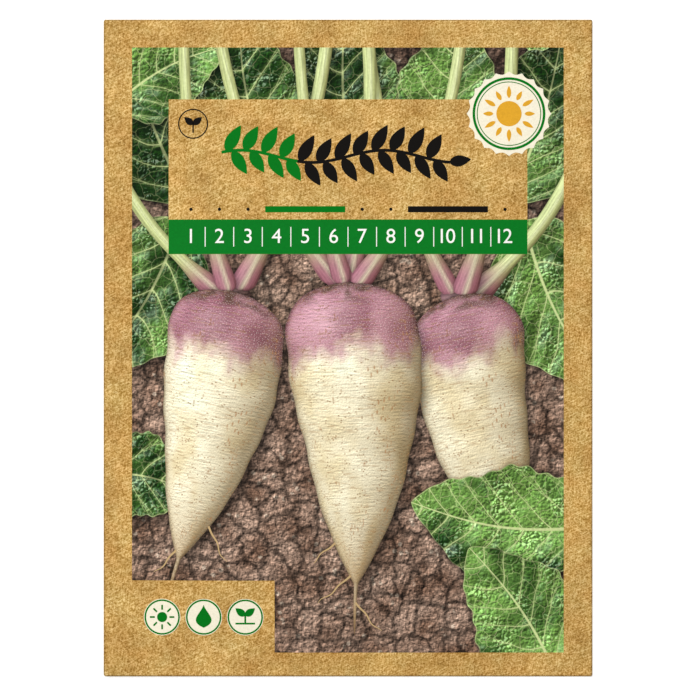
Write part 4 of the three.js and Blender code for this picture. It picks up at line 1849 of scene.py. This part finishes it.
@dataclass(frozen=True)
class BackMarks:
    """The back's plain marks: a boxed month scale with a sowing and a picking bar, and ruled lines."""

    ground: Ground
    green: Ink = Ink(INK_GREEN)
    black: Ink = Ink((30, 26, 22))
    pitch: float = 7.6
    box_top: float = 38.0
    box_head: float = 6.5
    box_low: float = 18.0
    box_line: float = 0.3
    number_height: float = 3.6
    sowing_y: float = 27.6
    picking_y: float = 22.0
    bar_width: float = 2.4
    rules: tuple[float, float, float] = (8.0, -52.0, -7.5)
    rule_line: float = 0.2

    def build(self) -> None:
        """Builds the marks and attaches them to the packet."""
        green = InkPrint("back_scale_green", self.ground, self.green)
        black = InkPrint("back_scale_black", self.ground, self.black)
        top, low, pitch, side = self.box_top, self.box_low, self.pitch, 6 * self.pitch
        for y in (top, top - self.box_head, low):
            green.bar(-side, y, side, y, self.box_line)
        for k in range(13):
            green.bar((k - 6) * pitch, low, (k - 6) * pitch, top, self.box_line)
        for month in range(1, 13):
            black.number(month, (month - 6.5) * pitch, top - self.box_head / 2, self.number_height)
        green.bar(-3 * pitch + 0.6, self.sowing_y, -0.6, self.sowing_y, self.bar_width)
        black.bar(2 * pitch + 0.6, self.picking_y, 5 * pitch - 0.6, self.picking_y, self.bar_width)
        for y in np.arange(*self.rules):
            black.bar(-side, float(y), side, float(y), self.rule_line)
        for ink_print in (green, black):
            attach(ink_print.build(), PAPER_SLOT)


# The sachet and its seeds

@dataclass(frozen=True)
class Sachet:
    """Two webs of foil laminate, sealed along their edges, with the upper one domed over the seeds."""

    width: float = 82.0
    height: float = 108.0
    middle_y: float = -12.0
    web: float = 0.12
    gap: float = 0.06
    seal: float = 6.0
    pillow: float = 2.14
    pillow_side: float = 16.0
    pillow_top: float = 60.0
    columns: int = 56
    rows: int = 72

    def foil(self) -> bpy.types.Material:
        """Satin laminate, creased finely, with a dull grey side.

        Returns:
            The finished material.
        """
        nodes = Nodes("foil_laminate")
        at = nodes.places()
        patch = nodes.range(nodes.noise(at, 0.2), 0.3, 0.7, 0, 1)
        colour = nodes.mix(patch, (0.55, 0.56, 0.57), (0.66, 0.67, 0.68))
        nodes.bump(nodes.noise(at, 0.7, 4.0, 0.7), 0.5, 0.12)
        roughness = nodes.range(nodes.noise(at, 0.5, 3.0), 0.3, 0.7, 0.22, 0.42)
        return nodes.finish(colour, roughness, 0.5, 0.9)

    def build(self) -> None:
        """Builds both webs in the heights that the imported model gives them."""
        foil = self.foil()
        cells = np.ones((self.columns, self.rows), bool)
        x = np.linspace(-self.width / 2, self.width / 2, self.columns + 1)[:, None]
        y = self.middle_y + np.linspace(-self.height / 2, self.height / 2, self.rows + 1)[None, :]
        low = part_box("sachet_lower_web")[0].z / MM + self.web / 2
        side = self.width / 2 - self.seal - np.abs(x)
        bottom = y - (self.middle_y - self.height / 2 + self.seal)
        top = self.middle_y + self.height / 2 - self.seal - y
        dome = self.pillow * smooth(side / self.pillow_side)
        dome = dome * smooth(bottom / self.pillow_side) * smooth(top / self.pillow_top)
        heights = {"sachet_lower_web": low + 0 * dome, "sachet_upper_web": low + self.web + self.gap + dome}
        for name, z in heights.items():
            points = np.stack(np.broadcast_arrays(x, y, z), 2)
            slope_x, slope_y = np.gradient(z, x[:, 0], y[0, :])
            normals = np.stack([-slope_x, -slope_y, np.ones_like(z)], 2)
            normals = normals / np.linalg.norm(normals, axis=2)[..., None]
            vertices, faces, _ = SheetMesh(points, normals, cells, self.web).build()
            piece = make_mesh("foil_" + name, vertices, faces, (True, True, False))
            piece.data.materials.append(foil)
            attach(piece, "foil_laminate", name)


@dataclass(frozen=True)
class Seeds:
    """Round dark seeds in one layer: a hexagonal pattern in an oval, each moved a little by seeded draws."""

    bed_y: float = -34.0
    half_width: float = 11.0
    half_length: float = 6.5
    pitch: float = 1.66
    jitter: float = 0.07
    radius: float = 0.8

    def centres(self) -> Array:
        """Works out the seeds' places.

        Returns:
            (n, 3) millimetres.
        """
        row_step = self.pitch * math.sqrt(3) / 2
        rows = int(self.half_length / row_step)
        columns = int(self.half_width / self.pitch) + 1
        j, i = np.meshgrid(np.arange(-rows, rows + 1), np.arange(-columns, columns + 1), indexing="ij")
        x, y = (i + 0.5 * (j % 2)) * self.pitch, j * row_step
        inside = (x / self.half_width) ** 2 + (y / self.half_length) ** 2 <= 1
        move = np.random.default_rng(20).uniform(-self.jitter, self.jitter, (inside.sum(), 2))
        middle = (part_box("seeds")[0].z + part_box("seeds")[1].z) / 2 / MM
        heights = np.full(inside.sum(), middle)
        return np.column_stack([x[inside] + move[:, 0], y[inside] + move[:, 1] + self.bed_y, heights])

    def build(self) -> None:
        """Builds the seeds as separate small balls in one piece."""
        ball = bmesh.new()
        bmesh.ops.create_icosphere(ball, subdivisions=2, radius=self.radius)
        shape = np.array([vertex.co for vertex in ball.verts])
        corners = np.array([[vertex.index for vertex in face.verts] for face in ball.faces])
        ball.free()
        centres = self.centres()
        points = (centres[:, None, :] + shape[None]).reshape(-1, 3)
        faces = (np.arange(len(centres))[:, None, None] * len(shape) + corners[None]).reshape(-1, 3)
        piece = make_mesh("seed_layer", points, [faces], [True])
        nodes = Nodes("seed_coat")
        at = nodes.places()
        tone = nodes.range(nodes.noise(at, 0.9, 3.0), 0.3, 0.7, 0, 1)
        nodes.bump(nodes.noise(at, 5.0, 2.0), 0.4, 0.05)
        colour = nodes.mix(tone, rgb(44, 28, 24), rgb(78, 50, 40))
        piece.data.materials.append(nodes.finish(colour, 0.55, 0.4))
        attach(piece, "seed_coat", "seeds")


# The scene

def attach(piece: bpy.types.Object, slot: str, *stands_for: str) -> None:
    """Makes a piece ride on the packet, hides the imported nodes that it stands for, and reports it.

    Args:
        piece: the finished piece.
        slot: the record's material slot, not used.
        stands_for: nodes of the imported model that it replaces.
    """
    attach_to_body(piece, BODY)
    if stands_for:
        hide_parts(*stands_for)
    log.info("%s: %d vertices, %d faces", piece.name, len(piece.data.vertices), len(piece.data.polygons))


@dataclass(frozen=True)
class Studio:
    """A pale, faintly glowing table, a soft even light and a camera that looks straight down on it.

    Sizes and places of the lamp are metres, and its tilt is in degrees.
    """

    picture_width: float = 171.0
    lens: float = 200.0
    sensor: float = 36.0
    floor_size: float = 6000.0
    floor_z: float = -0.02
    floor_tone: Colour = (0.93, 0.93, 0.93)
    glow: float = 0.45
    sky: float = 0.62
    lamp_size: float = 0.9
    lamp_power: float = 17.0
    lamp_place: tuple[float, float, float] = (-0.75, 0.8, 1.1)
    lamp_tilt: tuple[float, float] = (-36.0, -34.0)

    def build(self) -> None:
        """Makes the floor, the world's light, the lamp and the camera."""
        bpy.context.scene.view_settings.view_transform = "Standard"
        self.lay_floor()
        self.light()
        self.place_camera()

    def lay_floor(self) -> None:
        """Makes the floor under the packet."""
        side, z = self.floor_size / 2, self.floor_z
        corners = np.array([(-side, -side, z), (side, -side, z), (side, side, z), (-side, side, z)])
        floor = make_mesh("floor", corners, [np.array([[0, 1, 2, 3]])], [False])
        table = Nodes("pale_floor")
        table.shader.inputs["Emission Color"].default_value = (1.0, 1.0, 1.0, 1.0)
        table.shader.inputs["Emission Strength"].default_value = self.glow
        floor.data.materials.append(table.finish(self.floor_tone, 0.9, 0.1))

    def light(self) -> None:
        """Makes the world's even white light and one large soft lamp at the upper left."""
        world = bpy.data.worlds.new("soft_light")
        bpy.context.scene.world = world
        world.use_nodes = True
        background = world.node_tree.nodes["Background"]
        background.inputs["Color"].default_value = (1.0, 1.0, 1.0, 1.0)
        background.inputs["Strength"].default_value = self.sky
        lamp = bpy.data.lights.new("soft_box", "AREA")
        lamp.shape, lamp.energy = "RECTANGLE", self.lamp_power
        lamp.size, lamp.size_y = self.lamp_size, self.lamp_size
        soft_box = bpy.data.objects.new("soft_box", lamp)
        soft_box.location = self.lamp_place
        soft_box.rotation_euler = (*(math.radians(tilt) for tilt in self.lamp_tilt), 0.0)
        bpy.context.scene.collection.objects.link(soft_box)

    def place_camera(self) -> None:
        """Puts the camera straight above the middle, as high as the picture's width asks for."""
        data = bpy.data.cameras.new("camera")
        data.lens, data.sensor_width = self.lens, self.sensor
        camera = bpy.data.objects.new("camera", data)
        camera.location = (0.0, 0.0, self.picture_width * MM * self.lens / self.sensor)
        bpy.context.scene.collection.objects.link(camera)
        bpy.context.scene.camera = camera


def main() -> None:
    """Builds the packet's pieces in order, then the studio."""
    logging.basicConfig(level=logging.INFO, format="%(name)s: %(message)s")
    Studio().build()
    kraft = KraftPaper()
    painting = Painting()
    envelope = Envelope()
    print_finish = PrintedFront(kraft, painting)
    finishes = (print_finish.material(), kraft.plain("kraft_sheet"))
    attach(envelope.build(painting, finishes), PAPER_SLOT, "envelope")
    FrontMarks(Ground(envelope), print_finish).build()
    BackMarks(Ground(envelope, True)).build()
    Sachet().build()
    Seeds().build()


if __name__ == "__main__":
    main()
